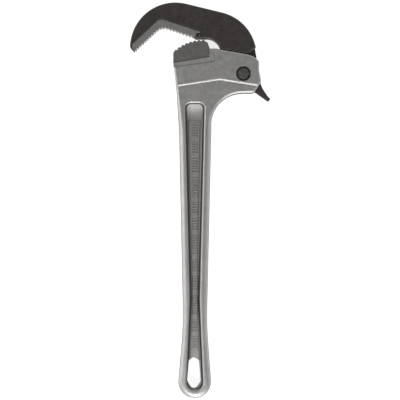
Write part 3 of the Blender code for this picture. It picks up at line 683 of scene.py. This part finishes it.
def head_top_corners():
    """From the cheeks' back edge, over their crown and along the flat top, to the front."""
    normal = 90 - TOP_FALL
    crown = arc((0, 0), CHEEK_CROWN, 38, normal, 6)
    rise = (HEAD_TOP - CHEEK_CROWN / math.cos(math.radians(TOP_FALL)))
    slope_end = -rise / math.tan(math.radians(TOP_FALL))
    return crown + [
        (slope_end, HEAD_TOP, 4),
        (front_edge_x(HEAD_TOP), HEAD_TOP, PAD_CORNER_R),
    ]


def butt_radius():
    """The largest rounding that the butt's two corners have room for."""
    lean = math.atan2((BUTT_WIDTH - WAIST_WIDTH) / 2, WAIST_Y - BUTT_Y)
    return (BUTT_WIDTH / 2 - BUTT_FLAT) / math.tan(math.pi / 4 + lean / 2)


def handle_corners():
    """The casting from the butt up its right side; the head's raised pad covers its top."""
    shoulder = RIDGE_LEFT_Y + 4
    return [
        (GRIP_X - BUTT_SHIFT - BUTT_WIDTH / 2, BUTT_Y, butt_radius()),
        (GRIP_X - BUTT_SHIFT + BUTT_WIDTH / 2, BUTT_Y, butt_radius()),
        (GRIP_X + WAIST_WIDTH / 2, WAIST_Y, 400),
        (GRIP_X + GRIP_TOP_WIDTH / 2, NECK_Y, 0),
        (GRIP_X + GRIP_TOP_WIDTH / 2 + 0.4, ARM_UNDER, THROAT_R),
        (12.4, ARM_UNDER + 1.2, 5),
        (20.8, -9.6, 5),
        (14.0, 3.0, 5),
        (HEAD_LEFT + 8, 3.0, 5),
        (front_edge_x(shoulder), shoulder, 5),
        (*LEAN_FOOT, 60),
        (GRIP_X - GRIP_TOP_WIDTH / 2 + 0.4, NECK_Y, 200),
        (GRIP_X - WAIST_WIDTH / 2, WAIST_Y, 400),
    ]


def grip_edge_at(y):
    """The rounding of the casting's outer edges, tighter at the head than along the grip."""
    share = min(max((HEAD_EDGE_Y - y) / (HEAD_EDGE_Y - NECK_Y), 0.0), 1.0)
    return HEAD_EDGE + (GRIP_EDGE - HEAD_EDGE) * share * share * (3 - 2 * share)


def casting_layers():
    """Layers of the casting, with rims whose rounding changes along the grip."""
    outline = rounded(handle_corners())
    inward = [inner - outer for inner, outer in zip(rounded(handle_corners(), -1.0), outline)]
    upper = []
    for share, drop in quarter(EDGE_STEPS):
        layer = []
        for point, turn in zip(outline, inward):
            edge = grip_edge_at(point.y)
            x, y = point + turn * edge * share
            layer.append((x, y, NECK_THICK / 2 - edge * drop))
        upper.append(layer)
    lower = [[(x, y, -z) for x, y, z in layer] for layer in upper]
    return lower + upper[::-1]


def local_thickness(y):
    """The casting thins from the neck to the waist."""
    share = min(max((NECK_Y - y) / (NECK_Y - WAIST_Y), 0.0), 1.0)
    return NECK_THICK + (WAIST_THICK - NECK_THICK) * share


def taper(data):
    """Scales a mesh made for the neck's thickness to the thickness at each point."""
    for vertex in data.vertices:
        vertex.co.z *= local_thickness(vertex.co.y / MM) / NECK_THICK
    return data


def pad_corners():
    """The raised part of the head, bounded below by its shallow roof-shaped ridge."""
    left = front_edge_x(RIDGE_LEFT_Y)
    return [
        (left, RIDGE_LEFT_Y, PAD_CORNER_R),
        (*RIDGE_APEX, 1.0),
        (*RIDGE_RIGHT, PAD_CORNER_R),
        (20.6, -9.2, 5),
        (18.1, 3.5, 20),
    ] + head_top_corners()


def pocket_half(y):
    """Half the pocket's width at a height, at the foot of its rounded rim."""
    if y > POCKET_WAIST_Y:
        end, width = POCKET_TOP, POCKET_TOP_WIDTH
    else:
        end, width = POCKET_END, POCKET_BUTT_WIDTH
    share = (y - POCKET_WAIST_Y) / (end - POCKET_WAIST_Y)
    return (POCKET_WAIST_WIDTH + share * (width - POCKET_WAIST_WIDTH)) / 2


def pocket_corners():
    """The I-beam's pocket at the foot of its rounded rim."""
    top = POCKET_TOP_WIDTH / 2
    waist = POCKET_WAIST_WIDTH / 2
    butt = POCKET_BUTT_WIDTH / 2
    middle = GRIP_X - POCKET_SHIFT
    neck = pocket_half(NECK_Y)
    return [
        (middle - butt, POCKET_END, POCKET_END_R),
        (middle + butt, POCKET_END, POCKET_END_R),
        (middle + waist, POCKET_WAIST_Y, 300),
        (middle + neck, NECK_Y, 0),
        (middle + top, POCKET_TOP, 6.5),
        (middle - top, POCKET_TOP, 6.5),
        (middle - neck, NECK_Y, 0),
        (middle - waist, POCKET_WAIST_Y, 300),
    ]


def pocket_layers(side):
    """Layers of the cutter for one face's pocket, from above the face to the floor."""
    corners = pocket_corners()
    face = NECK_THICK / 2
    floor = WEB_THICK / 2
    layers = [(rounded(corners, POCKET_RIM), (face + 2) * side)]
    for out, drop in quarter(EDGE_STEPS):
        layers.append((rounded(corners, POCKET_RIM * out), (face - POCKET_RIM * drop) * side))
    for rise, inward in quarter(EDGE_STEPS - 1):
        grow = -POCKET_DRAFT - POCKET_FLOOR_R * inward
        layers.append((rounded(corners, grow), (floor + POCKET_FLOOR_R * rise) * side))
    return layers


def plate_corners():
    """The raised plate on the web, inside the pocket's walls; the eye cuts its lower end."""
    inset = POCKET_DRAFT + POCKET_FLOOR_R + PLATE_MARGIN
    top = pocket_half(PLATE_TOP) - inset
    waist = POCKET_WAIST_WIDTH / 2 - inset
    end = pocket_half(PLATE_END) - inset
    middle = GRIP_X - POCKET_SHIFT
    return [
        (middle - end, PLATE_END, 0),
        (middle + end, PLATE_END, 0),
        (middle + waist, POCKET_WAIST_Y, 300),
        (middle + top - PLATE_LEAN, PLATE_TOP, 1.0),
        (middle - top, PLATE_TOP, 1.0),
        (middle - waist, POCKET_WAIST_Y, 300),
    ]


def eye_corners():
    """The teardrop hanging eye."""
    top = EYE_TOP_WIDTH / 2
    wide = EYE_WIDTH / 2
    middle = GRIP_X - EYE_SHIFT
    return [
        (middle - wide, EYE_WIDEST, 6),
        (middle, EYE_POINT, 5),
        (middle + wide, EYE_WIDEST, 6),
        (middle + top, EYE_TOP - EYE_SHOULDER, 3),
        (middle, EYE_TOP, 4),
        (middle - top, EYE_TOP - EYE_SHOULDER, 3),
    ]


def slot_corners():
    """The fork slot seen from the side; it is open at the top, at the back and under the lever."""
    return [
        (SLOT_FRONT, SLOT_STEP[1] + 8, 4),
        (SLOT_STEP[0], SLOT_STEP[1], 4),
        (SLOT_STEP[0], SLOT_FLOOR, 2.5),
        (SLOT_END, SLOT_FLOOR, 0),
        (SLOT_END, ARM_UNDER - 2 * PAST, 0),
        (40, ARM_UNDER - 2 * PAST, 0),
        (40, HEAD_TOP + 2 * PAST, 0),
        (SLOT_FRONT, HEAD_TOP + 2 * PAST, 0),
    ]


def notch_corners():
    """What the heel jaw's seat takes off the head's front."""
    front = HEAD_LEFT - PAST
    right = HEEL_RIGHT + SHUT_GAP
    return [
        (front, seat_y(front), 0),
        (right, seat_y(right), 0.7),
        (right, HEAD_TOP + PAST, 0),
        (front, HEAD_TOP + PAST, 0),
    ]


def band_corners():
    """The sunk band on each face round the foot of the heel jaw."""
    slope = math.tan(math.radians(BAND_ANGLE))
    front = HEAD_LEFT - PAST
    return [
        (front, BAND_LEFT_Y - PAST * slope, 0),
        (BAND_RIGHT, BAND_LEFT_Y + slope * (BAND_RIGHT - HEAD_LEFT), 2.3),
        (BAND_RIGHT, HEAD_TOP + PAST, 0),
        (front, HEAD_TOP + PAST, 0),
    ]


def tongue_corners(grow=0.0):
    """The heel jaw's tongue below its seat."""
    start = toward((HEAD_LEFT, FLOOR_LEFT_Y), FLOOR_ANGLE, TONGUE_START - grow)
    end = toward(start, FLOOR_ANGLE, TONGUE_LENGTH + 2 * grow)
    down = FLOOR_ANGLE - 90
    return [
        (*toward(start, down, TONGUE_DEPTH + grow), 1.5),
        (*toward(end, down, TONGUE_DEPTH + grow), 1.5),
        (*toward(end, down, -2.5), 0),
        (*toward(start, down, -2.5), 0),
    ]


def bush_reach():
    """How far from the mid-plane a cheek bush starts and ends."""
    return SLOT_WIDTH / 2 + BUSH_SINK, HEAD_THICK / 2 - COUNTERBORE_DEPTH - BUSH_SINK


def pivot_bore():
    """The bore through both cheeks, wider at each face for the retaining ring."""
    bore = PIN_R + RUN_GAP + BUSH_WALL + GAP
    face = HEAD_THICK / 2
    shelf = face - COUNTERBORE_DEPTH
    wide = bore + COUNTERBORE_STEP
    return turned("pivot_bore", [
        (0, -face - 1), (wide, -face - 1), (wide, -shelf), (bore, -shelf),
        (bore, shelf), (wide, shelf), (wide, face + 1), (0, face + 1)])


def heel_corners():
    """The heel jaw's block with its crowned, toothed top."""
    left = HEAD_LEFT + 0.2
    centre_x, centre_y = HEEL_CROWN
    end = 180 - math.degrees(math.asin((HEEL_LEFT_Y - centre_y) / HEEL_CROWN_R))
    return [
        (left, seat_y(left) + GAP, 0.5),
        (HEEL_RIGHT, seat_y(HEEL_RIGHT) + GAP, 0.5),
        (HEEL_RIGHT, HEAD_TOP + 0.8, 0.8),
        (HEEL_RIGHT - HEEL_SLOPE, HEEL_TOP_Y, 0.8),
        (HEEL_RIGHT - HEEL_SLOPE - 2, HEEL_TOP_Y + 0.9, 0.5),
    ] + tooth_arc(HEEL_CROWN, HEEL_CROWN_R, 86.5, end, HEEL_PITCH, HEEL_TOOTH) + [
        (left, HEEL_LEFT_Y - 1.0, 0),
    ]


def insert_pin_place():
    """The pin lies half in the insert's inner end and half in the hook's lip."""
    bite_inner, back_inner = insert_ends()[1:3]
    return tuple((Vector(bite_inner) + Vector(back_inner)) / 2)


def v_bite():
    """The corner of the insert's toothed side."""
    half = math.radians(360 + V_INNER_ANGLE - V_OUTER_ANGLE) / 2
    middle = (V_OUTER_ANGLE + 360 + V_INNER_ANGLE) / 2
    return toward(V_CORNER, middle, INSERT_DEPTH / math.sin(half))


def insert_ends():
    """The four ends of the V: bite outer, bite inner, back inner and back outer."""
    bite = v_bite()
    return (toward(bite, V_OUTER_ANGLE, OUTER_TEETH), toward(bite, V_INNER_ANGLE, INNER_TEETH),
            toward(V_CORNER, V_INNER_ANGLE, V_INNER_LENGTH),
            toward(V_CORNER, V_OUTER_ANGLE, V_OUTER_LENGTH))


def insert_corners():
    """The toothed V strip."""
    bite_outer, bite_inner, back_inner, back_outer = insert_ends()
    bite = v_bite()
    blunt_outer = toward(bite, V_OUTER_ANGLE, V_BITE_R)
    blunt_inner = toward(bite, V_INNER_ANGLE, V_BITE_R)
    return (
        tooth_row(bite_outer, blunt_outer, INSERT_PITCH, INSERT_TOOTH)
        + tooth_row(blunt_outer, blunt_inner, INSERT_PITCH, INSERT_TOOTH)
        + tooth_row(blunt_inner, bite_inner, INSERT_PITCH, INSERT_TOOTH)
        + [(*bite_inner, 0), (*back_inner, 0.6), (*V_CORNER, V_BACK_R), (*back_outer, 0.6),
           (*TOE, 0.6)])


def insert_seat_corners():
    """What the hook loses to the insert: the strip's back, with its toothed side far outside."""
    bite_outer, bite_inner, back_inner, back_outer = insert_ends()
    open_outer = toward(bite_outer, V_OUTER_ANGLE + 90, 14)
    open_inner = Vector(bite_inner) + (Vector(bite_inner) - Vector(back_inner)).normalized() * 12
    return [(*open_outer, 0), (*toward(v_bite(), -78, 14), 0), (*open_inner, 0),
            (*back_inner, 0.6), (*V_CORNER, V_BACK_R), (*back_outer, 0.6), (*TOE, 0.6),
            (*bite_outer, 0)]


def hook_corners():
    """The hook's thick body, drawn over the insert, which is cut out of it afterwards."""
    reach = CHEEK_CROWN + SWING_GAP
    fall = math.radians(TOP_FALL)
    height = reach / math.cos(fall)

    def shoulder_y(x):
        return height - x * math.tan(fall)

    bite_outer, bite_inner = insert_ends()[:2]
    return [
        (TIP_X + 5.4, bite_outer[1] - 0.6, 0.4),
        (*v_bite(), 6),
        (*bite_inner, 0),
        (LIP_X, THROAT_CORNER[1] - 0.4, 1.2),
        (*THROAT_CORNER, HOOK_THROAT_R),
        (-26.9, shoulder_y(-26.9), 0.8),
        (BEVEL_FOOT_X, shoulder_y(BEVEL_FOOT_X), 0.8),
        (*BEVEL_TOP, 0.6),
        (*NAPE_CORNER, NAPE_R),
        (*BACK_CORNER, BACK_R),
        (TIP_X, bite_outer[1] + 4.5, 6),
    ]


def cam_point(angle):
    """A point of the involute cam that meets the plunger when the hook has turned this far."""
    turn = math.radians(angle)
    contact = Vector((-(CAM_REACH + CAM_BASE * turn), -CAM_BASE))
    x, y = Matrix.Rotation(turn, 2) @ contact
    return (x, y, 0)


def tang_corners():
    """The thin tang in the fork, with its cam and the thumb lever forged in one."""
    cam = [cam_point(angle) for angle in (-9, -4.5, 0, 5, 10, 15, 20, 25, OPEN_ANGLE + 3)]
    return [(-22.0, 34.0, 0), (-21.0, 19.0, 3), (-16.0, 5.0, 6), (-9.9, -5.4, 0.6)] + cam + [
        (-4.5, -17.4, 1.5),
        (4.0, -16.6, 2),
        (13.3, -21.5, 3),
        (26.8, -31.1, 8),
        (29.0, -32.2, 0.6),
        (31.4, -28.8, 0.6),
        (28.3, -26.2, 6),
        (21.4, -15.9, 24),
        (17.4, -2.0, 12),
        (15.0, 19.5, 4),
        (13.4, 29.2, 0),
        (8.0, 34.0, 0),
    ]


def rod(name, radius, length, sides=ROUND_SIDES, edge=0.0):
    """A round bar that stands on its origin, its ends chamfered if asked."""
    side = [(radius, 0), (radius, length)]
    if edge:
        side = [(radius - edge, 0), (radius, edge),
                (radius, length - edge), (radius - edge, length)]
    return turned(name, [(0, 0)] + side + [(0, length)], sides)


def split_across(data, *heights):
    """Cuts edges into a mesh at heights along the grip, so that its thickness can change there."""
    mesh = bmesh.new()
    mesh.from_mesh(data)
    for height in heights:
        everything = mesh.verts[:] + mesh.edges[:] + mesh.faces[:]
        bmesh.ops.bisect_plane(mesh, geom=everything, plane_co=(0, height * MM, 0),
                               plane_no=(0, 1, 0))
    mesh.to_mesh(data)
    mesh.free()
    return data


def web_plate(side):
    """The raised plate on the web of one face, its upper rim rounded."""
    web = WEB_THICK / 2
    low = (web / 2) * side
    high = web + PLATE_RISE
    layers = [(rounded(plate_corners()), low)]
    for drop, inward in quarter(4):
        layers.append((rounded(plate_corners(), -PLATE_EDGE * inward),
                       (high - PLATE_EDGE * drop) * side))
    return taper(split_across(loft("plate", layers), NECK_Y, WAIST_Y))


def ramp_outline():
    """The hollow run-out at the top of the web, seen from the side as (y, z) points."""
    web = WEB_THICK / 2
    points = [(PLATE_TOP - 0.4, web - 1.5), (POCKET_TOP + 1.0, web - 1.5)]
    centre = (PLATE_TOP, web + RAMP_R)
    sweep = math.asin((POCKET_TOP + 1.0 - PLATE_TOP) / RAMP_R)
    for k in range(RAMP_STEPS + 1):
        angle = sweep * (1 - k / RAMP_STEPS)
        points.append((centre[0] + RAMP_R * math.sin(angle),
                       centre[1] - RAMP_R * math.cos(angle)))
    return points


def ramp(side):
    """The run-out's solid for one face, as wide as the pocket at its foot."""
    half = POCKET_TOP_WIDTH / 2 - 0.3
    middle = GRIP_X - POCKET_SHIFT
    mesh = bmesh.new()
    bridge(mesh, [[mesh.verts.new(((middle + x) * MM, y * MM, z * MM * side))
                   for y, z in ramp_outline()] for x in (-half, half)])
    return finish_mesh("ramp", mesh)


def make_handle(material):
    """The casting: grip, neck and forked head, and everything that is cut into them."""
    blank = split_across(skin("handle_casting", casting_layers()), NECK_Y, WAIST_Y)
    handle = place("handle_casting", taper(blank))
    pad_layers = plate_layers(pad_corners(), HEAD_THICK, PAD_EDGE, PAD_INSET, PAD_REACH)
    pad = loft("head_pad", pad_layers)
    unite(handle, "head_pad", pad)
    for side in (1, -1):
        pocket = taper(split_across(loft("pocket", pocket_layers(side)), NECK_Y, WAIST_Y))
        combine(handle, "pocket", pocket)
        unite(handle, "plate", web_plate(side))
        unite(handle, "ramp", ramp(side))
        low = (HEAD_THICK / 2 - BAND_DEPTH) * side
        cut_slab(handle, "band", band_corners(), low, HEAD_THICK * side)
    cut_slab(handle, "notch", notch_corners(), -HEAD_THICK, HEAD_THICK)
    cut_slab(handle, "eye", eye_corners(), -NECK_THICK, NECK_THICK)
    cut_slab(handle, "slot", slot_corners(), -SLOT_WIDTH / 2, SLOT_WIDTH / 2)
    half = TONGUE_THICK / 2 + GAP
    cut_slab(handle, "tongue_socket", tongue_corners(GAP), -half, half)
    combine(handle, "pivot_bore", pivot_bore())
    bore = rod("spring_bore", BORE_R, SLOT_STEP[0] + 3 - BORE_END)
    combine(handle, "spring_bore", bore, (BORE_END, -CAM_BASE, 0), ALONG_X)
    heel_pin_hole(handle)
    return settle(handle, material, "handle", "cast_aluminium", "handle")


def heel_pin_hole(piece):
    """Cuts the hole for the heel jaw's pin."""
    hole = rod("heel_pin_hole", HEEL_PIN_R + GAP, HEEL_PIN_LENGTH + GAP + 5)
    start = (front_edge_x(HEEL_PIN_Y) + HEEL_PIN_SINK - 5, HEEL_PIN_Y, 0)
    combine(piece, "heel_pin_hole", hole, start, ALONG_X)


def add_bar(mesh, low, high):
    """Adds a closed block whose sides lean in towards its top, in millimetres."""
    corners = ((0, 0), (1, 0), (1, 1), (0, 1))
    rings = []
    for z, inset in ((low[2], 0.0), (high[2], BAR_SLOPE)):
        rings.append([mesh.verts.new(((low[0] + inset + (high[0] - low[0] - 2 * inset) * u) * MM,
                                      (low[1] + inset + (high[1] - low[1] - 2 * inset) * v) * MM,
                                      z * MM)) for u, v in corners])
    bridge(mesh, rings)


def make_cast_bars(side, name, material):
    """A strip of plain raised bars on the web, in groups, where such castings carry marks."""
    draw = random.Random(BAR_SEED)
    left = BARS_X - BAR_WIDTH / 2
    foot = WEB_THICK / 2 + PLATE_RISE - BAR_SINK
    top = foot + BAR_SINK + BAR_RISE
    mesh = bmesh.new()
    y = BARS_START
    while y > BARS_END:
        for _ in range(draw.choice(BAR_GROUPS)):
            if y < BARS_END:
                break
            thin = local_thickness(y) / NECK_THICK
            add_bar(mesh, (left, y - BAR_LENGTH, foot * thin), (left + BAR_WIDTH, y, top * thin))
            y -= BAR_PITCH
        y -= BAR_PITCH * 1.4
    if side < 0:
        bmesh.ops.scale(mesh, vec=(1, 1, -1), verts=mesh.verts)
    bars = place(name, finish_mesh(name, mesh))
    return settle(bars, material, "handle", "cast_aluminium")


def make_heel_jaw(material):
    """Steel block that sits in the head, with a tongue and the hole for its pin."""
    half = JAW_THICK / 2
    jaw = place("heel_jaw_block", slab("heel_jaw_block", heel_corners(), -half, half, 0, 0.3))
    tongue = slab("tongue", tongue_corners(), -TONGUE_THICK / 2, TONGUE_THICK / 2)
    unite(jaw, "tongue", tongue)
    heel_pin_hole(jaw)
    return settle(jaw, material, "handle", "jaw_steel", "heel_jaw")


def spring_pin(name, radius, length):
    """A rolled pin: a slit tube that stands on its origin."""
    end = 360 - ROLLED_SLIT
    corners = arc((0, 0), radius, ROLLED_SLIT, end, 40)
    corners += arc((0, 0), radius * ROLLED_BORE, end, ROLLED_SLIT, 40)
    return slab(name, corners, 0, length, 0, 0.2)


def make_pins(pin_material, ring_material, bush_material):
    """The pivot pin, its rings and bushes, the heel jaw's rolled pin and the insert's dowel."""
    end = HEAD_THICK / 2 - PIN_SINK
    ring_high = HEAD_THICK / 2 - RING_SINK
    ring_low = ring_high - RING_THICK
    groove_high = ring_high + GROOVE_ROOM
    groove_low = ring_low - GROOVE_ROOM
    groove = PIN_R - GROOVE_DEPTH
    upper = [(PIN_R, groove_low), (groove, groove_low), (groove, groove_high),
             (PIN_R, groove_high), (PIN_R, end - 0.4), (PIN_R - 0.2, end - 0.1),
             (PIN_R - 0.5, end)]
    lower = [(r, -z) for r, z in upper[::-1]]
    profile = [(0, -end)] + lower + upper + [(0, end)]
    fit("pivot_pin_turned", turned, [profile], pin_material, "handle", "pin_steel", "pivot_pin")
    opening = RING_OPENING / 2
    ring = arc((0, 0), RING_R, opening, 360 - opening, 72)
    ring += arc((0, 0), groove + GAP, 360 - opening * 1.3, opening * 1.3, 72)
    bush_low, bush_high = bush_reach()
    inner = PIN_R + RUN_GAP
    outer = inner + BUSH_WALL
    edge = BUSH_EDGE
    for side, face in ((1, "front"), (-1, "back")):
        low, high = sorted((ring_low * side, ring_high * side))
        fit("snap_ring_" + face, slab, (ring, low, high, 0, 0.15), ring_material,
            "handle", "ring_steel", "retaining_ring_" + face)
        low, high = sorted((bush_low * side, bush_high * side))
        tube = [(inner + edge, low), (outer - edge, low), (outer, low + edge),
                (outer, high - edge), (outer - edge, high), (inner + edge, high),
                (inner, high - edge), (inner, low + edge)]
        fit("plain_bush_" + face, turned, [tube], bush_material,
            "handle", "pin_steel", "cheek_bush_" + face)
    start = (front_edge_x(HEEL_PIN_Y) + HEEL_PIN_SINK, HEEL_PIN_Y, 0)
    fit("rolled_pin_heel", spring_pin, (HEEL_PIN_R, HEEL_PIN_LENGTH), bush_material,
        "handle", "spring_steel", "heel_jaw_pin", start, ALONG_X)
    length = JAW_THICK - 2 * INSERT_PIN_SINK
    fit("dowel_insert", rod, (INSERT_PIN_R, length, ROUND_SIDES, INSERT_PIN_EDGE), ring_material,
        "hook", "ring_steel", "insert_pin", (*insert_pin_place(), -length / 2))


def insert_hole(piece):
    """Cuts the hole for the insert's pin."""
    hole = rod("insert_pin_hole", INSERT_PIN_R + GAP, JAW_THICK * 2, 48)
    combine(piece, "insert_pin_hole", hole, (*insert_pin_place(), -JAW_THICK))


def make_hook(material):
    """The hook jaw: thick body, thin tang with its pivot hole, cam and thumb lever."""
    body = loft("hook_forging", plate_layers(hook_corners(), JAW_THICK, HOOK_EDGE))
    hook = place("hook_forging", body)
    tang = loft("tang", plate_layers(tang_corners(), TANG_THICK, TANG_EDGE, steps=4))
    unite(hook, "tang", tang)
    cut_slab(hook, "insert_seat", insert_seat_corners(), -JAW_THICK, JAW_THICK, GAP)
    bore = rod("tang_bore", PIN_R + RUN_GAP, JAW_THICK * 2)
    combine(hook, "tang_bore", bore, (0, 0, -JAW_THICK))
    insert_hole(hook)
    return settle(hook, material, "hook", "black_oxide_steel", "hook_jaw")


def make_insert(material):
    """The toothed strip, with its half of the pin's hole."""
    half = INSERT_THICK / 2
    strip = slab("toothed_insert", insert_corners(), -half, half, 0, 0.25)
    insert = place("toothed_insert", strip)
    insert_hole(insert)
    return settle(insert, material, "hook", "jaw_steel", "hook_jaw_insert")


def coil(name, radius, wire, length, coils):
    """A compression spring that stands on its origin, its end turns closed up."""
    per_coil = 36
    sides = 14
    steps = int(coils * per_coil)
    shut = wire * 1.04 / per_coil
    free = (length - wire - 2 * per_coil * shut) / (steps - 2 * per_coil)
    mesh = bmesh.new()
    rings = []
    for i in range(steps + 1):
        angle = 2 * math.pi * i / per_coil
        turn_number = i / per_coil
        if turn_number <= 1:
            height = shut * i
        elif turn_number >= coils - 1:
            height = length - wire - shut * (steps - i)
        else:
            height = shut * per_coil + free * (i - per_coil)
        out = Vector((math.cos(angle), math.sin(angle), 0))
        centre = out * radius + Vector((0, 0, wire / 2 + height))
        ring = []
        for k in range(sides):
            turn = 2 * math.pi * k / sides
            offset = out * math.cos(turn) + Vector((0, 0, math.sin(turn)))
            ring.append(mesh.verts.new((centre + offset * wire / 2) * MM))
        rings.append(ring)
    bridge(mesh, rings)
    return finish_mesh(name, mesh)


def make_spring_and_plunger(spring_material, plunger_material):
    """The plunger rests on the cam; the spring behind it keeps the hook closed."""
    nose = -CAM_REACH - GAP
    tail = nose - PLUNGER_LENGTH
    fit("plunger_turned", rod, (BORE_R - RUN_GAP, PLUNGER_LENGTH, ROUND_SIDES, PLUNGER_CHAMFER),
        plunger_material, "plunger", "pin_steel", "spring_plunger",
        (tail, -CAM_BASE, 0), ALONG_X)
    length = tail - GAP - (BORE_END + GAP)
    radius = BORE_R - GAP - SPRING_WIRE / 2 - 0.2
    foot = (BORE_END + GAP, -CAM_BASE, 0)
    spring = fit("coil_spring", coil, (radius, SPRING_WIRE, length, SPRING_COILS),
                 spring_material, "handle", "spring_steel", "return_spring", foot, ALONG_X)
    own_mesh(spring)


# ---- studio

def make_floor():
    """A wide, round floor just under the wrench."""
    mesh = bmesh.new()
    bmesh.ops.create_circle(mesh, cap_ends=True, radius=FLOOR_RADIUS, segments=96)
    data = bpy.data.meshes.new("studio_floor")
    mesh.to_mesh(data)
    mesh.free()
    data.materials.append(floor_paint())
    floor = show("studio_floor", data)
    floor.location.z = FLOOR_Z


def make_world():
    """An overcast studio: soft and dim overhead, brighter towards the walls."""
    world = bpy.data.worlds.new("studio")
    bpy.context.scene.world = world
    world.use_nodes = True
    n = Nodes(world.node_tree)
    coords = n.add("ShaderNodeTexCoord").outputs["Generated"]
    parts = n.add("ShaderNodeSeparateXYZ", coords).outputs
    ramp = n.add("ShaderNodeValToRGB", parts["Z"])
    stops = ramp.color_ramp.elements
    stops[0].position, stops[1].position = SKY[0][0], SKY[-1][0]
    for height, _ in SKY[1:-1]:
        stops.new(height)
    for stop, (_, level) in zip(stops, SKY):
        stop.color = (level, level, level, 1)
    ramp.color_ramp.interpolation = "EASE"
    side = n.spread(parts["X"], 1.0, SKY_RIGHT, 0.1, 0.9)
    scale = n.add("ShaderNodeVectorMath", ramp.outputs["Color"], operation="SCALE", scale=side)
    n.fill(n.tree.nodes["Background"], color=scale.outputs[0], strength=SKY_STRENGTH)


def softbox(name, place_at, size, power):
    """A large square light that looks at the wrench."""
    data = bpy.data.lights.new(name, "AREA")
    data.shape = "RECTANGLE"
    data.size, data.size_y = size
    data.energy = power
    box = show(name, data)
    box.visible_camera = False
    box.location = place_at
    box.rotation_euler = (-Vector(place_at)).to_track_quat("-Z", "Y").to_euler()


def make_camera():
    """Looks straight down on the wrench."""
    data = bpy.data.cameras.new("camera")
    data.sensor_width = 36
    data.lens = 36 * CAMERA_HEIGHT / FRAME_WIDTH
    camera = show("camera", data)
    camera.location = (CAMERA_AIM[0], CAMERA_AIM[1], FACE_HEIGHT + CAMERA_HEIGHT)
    bpy.context.scene.camera = camera


# ---- all together

def main():
    aluminium = cast_aluminium()
    black = black_oxide()
    insert_steel = jaw_steel("insert_steel", (0.30, 0.292, 0.285), (0.40, 0.392, 0.385))
    heel_steel = jaw_steel("heel_steel", (0.215, 0.202, 0.195), (0.29, 0.277, 0.27))
    pin_steel = turned_steel("pin_steel", (0.12, 0.118, 0.114), (0.20, 0.197, 0.19), 0.36, 0.5)
    ring_steel = turned_steel("ring_steel", (0.03, 0.029, 0.028), (0.055, 0.053, 0.051), 0.45, 0.6)
    bush_steel = turned_steel("bush_steel", (0.34, 0.335, 0.33), (0.44, 0.435, 0.43), 0.28, 0.4)
    make_handle(aluminium)
    make_cast_bars(1, "cast_bars_front", aluminium)
    make_cast_bars(-1, "cast_bars_back", aluminium)
    make_heel_jaw(heel_steel)
    make_pins(pin_steel, ring_steel, bush_steel)
    make_hook(black)
    make_insert(insert_steel)
    make_spring_and_plunger(spring_wire(), pin_steel)
    make_floor()
    make_world()
    for box in SOFTBOXES:
        softbox(*box)
    make_camera()
    bpy.context.scene.view_settings.view_transform = "Standard"


main()
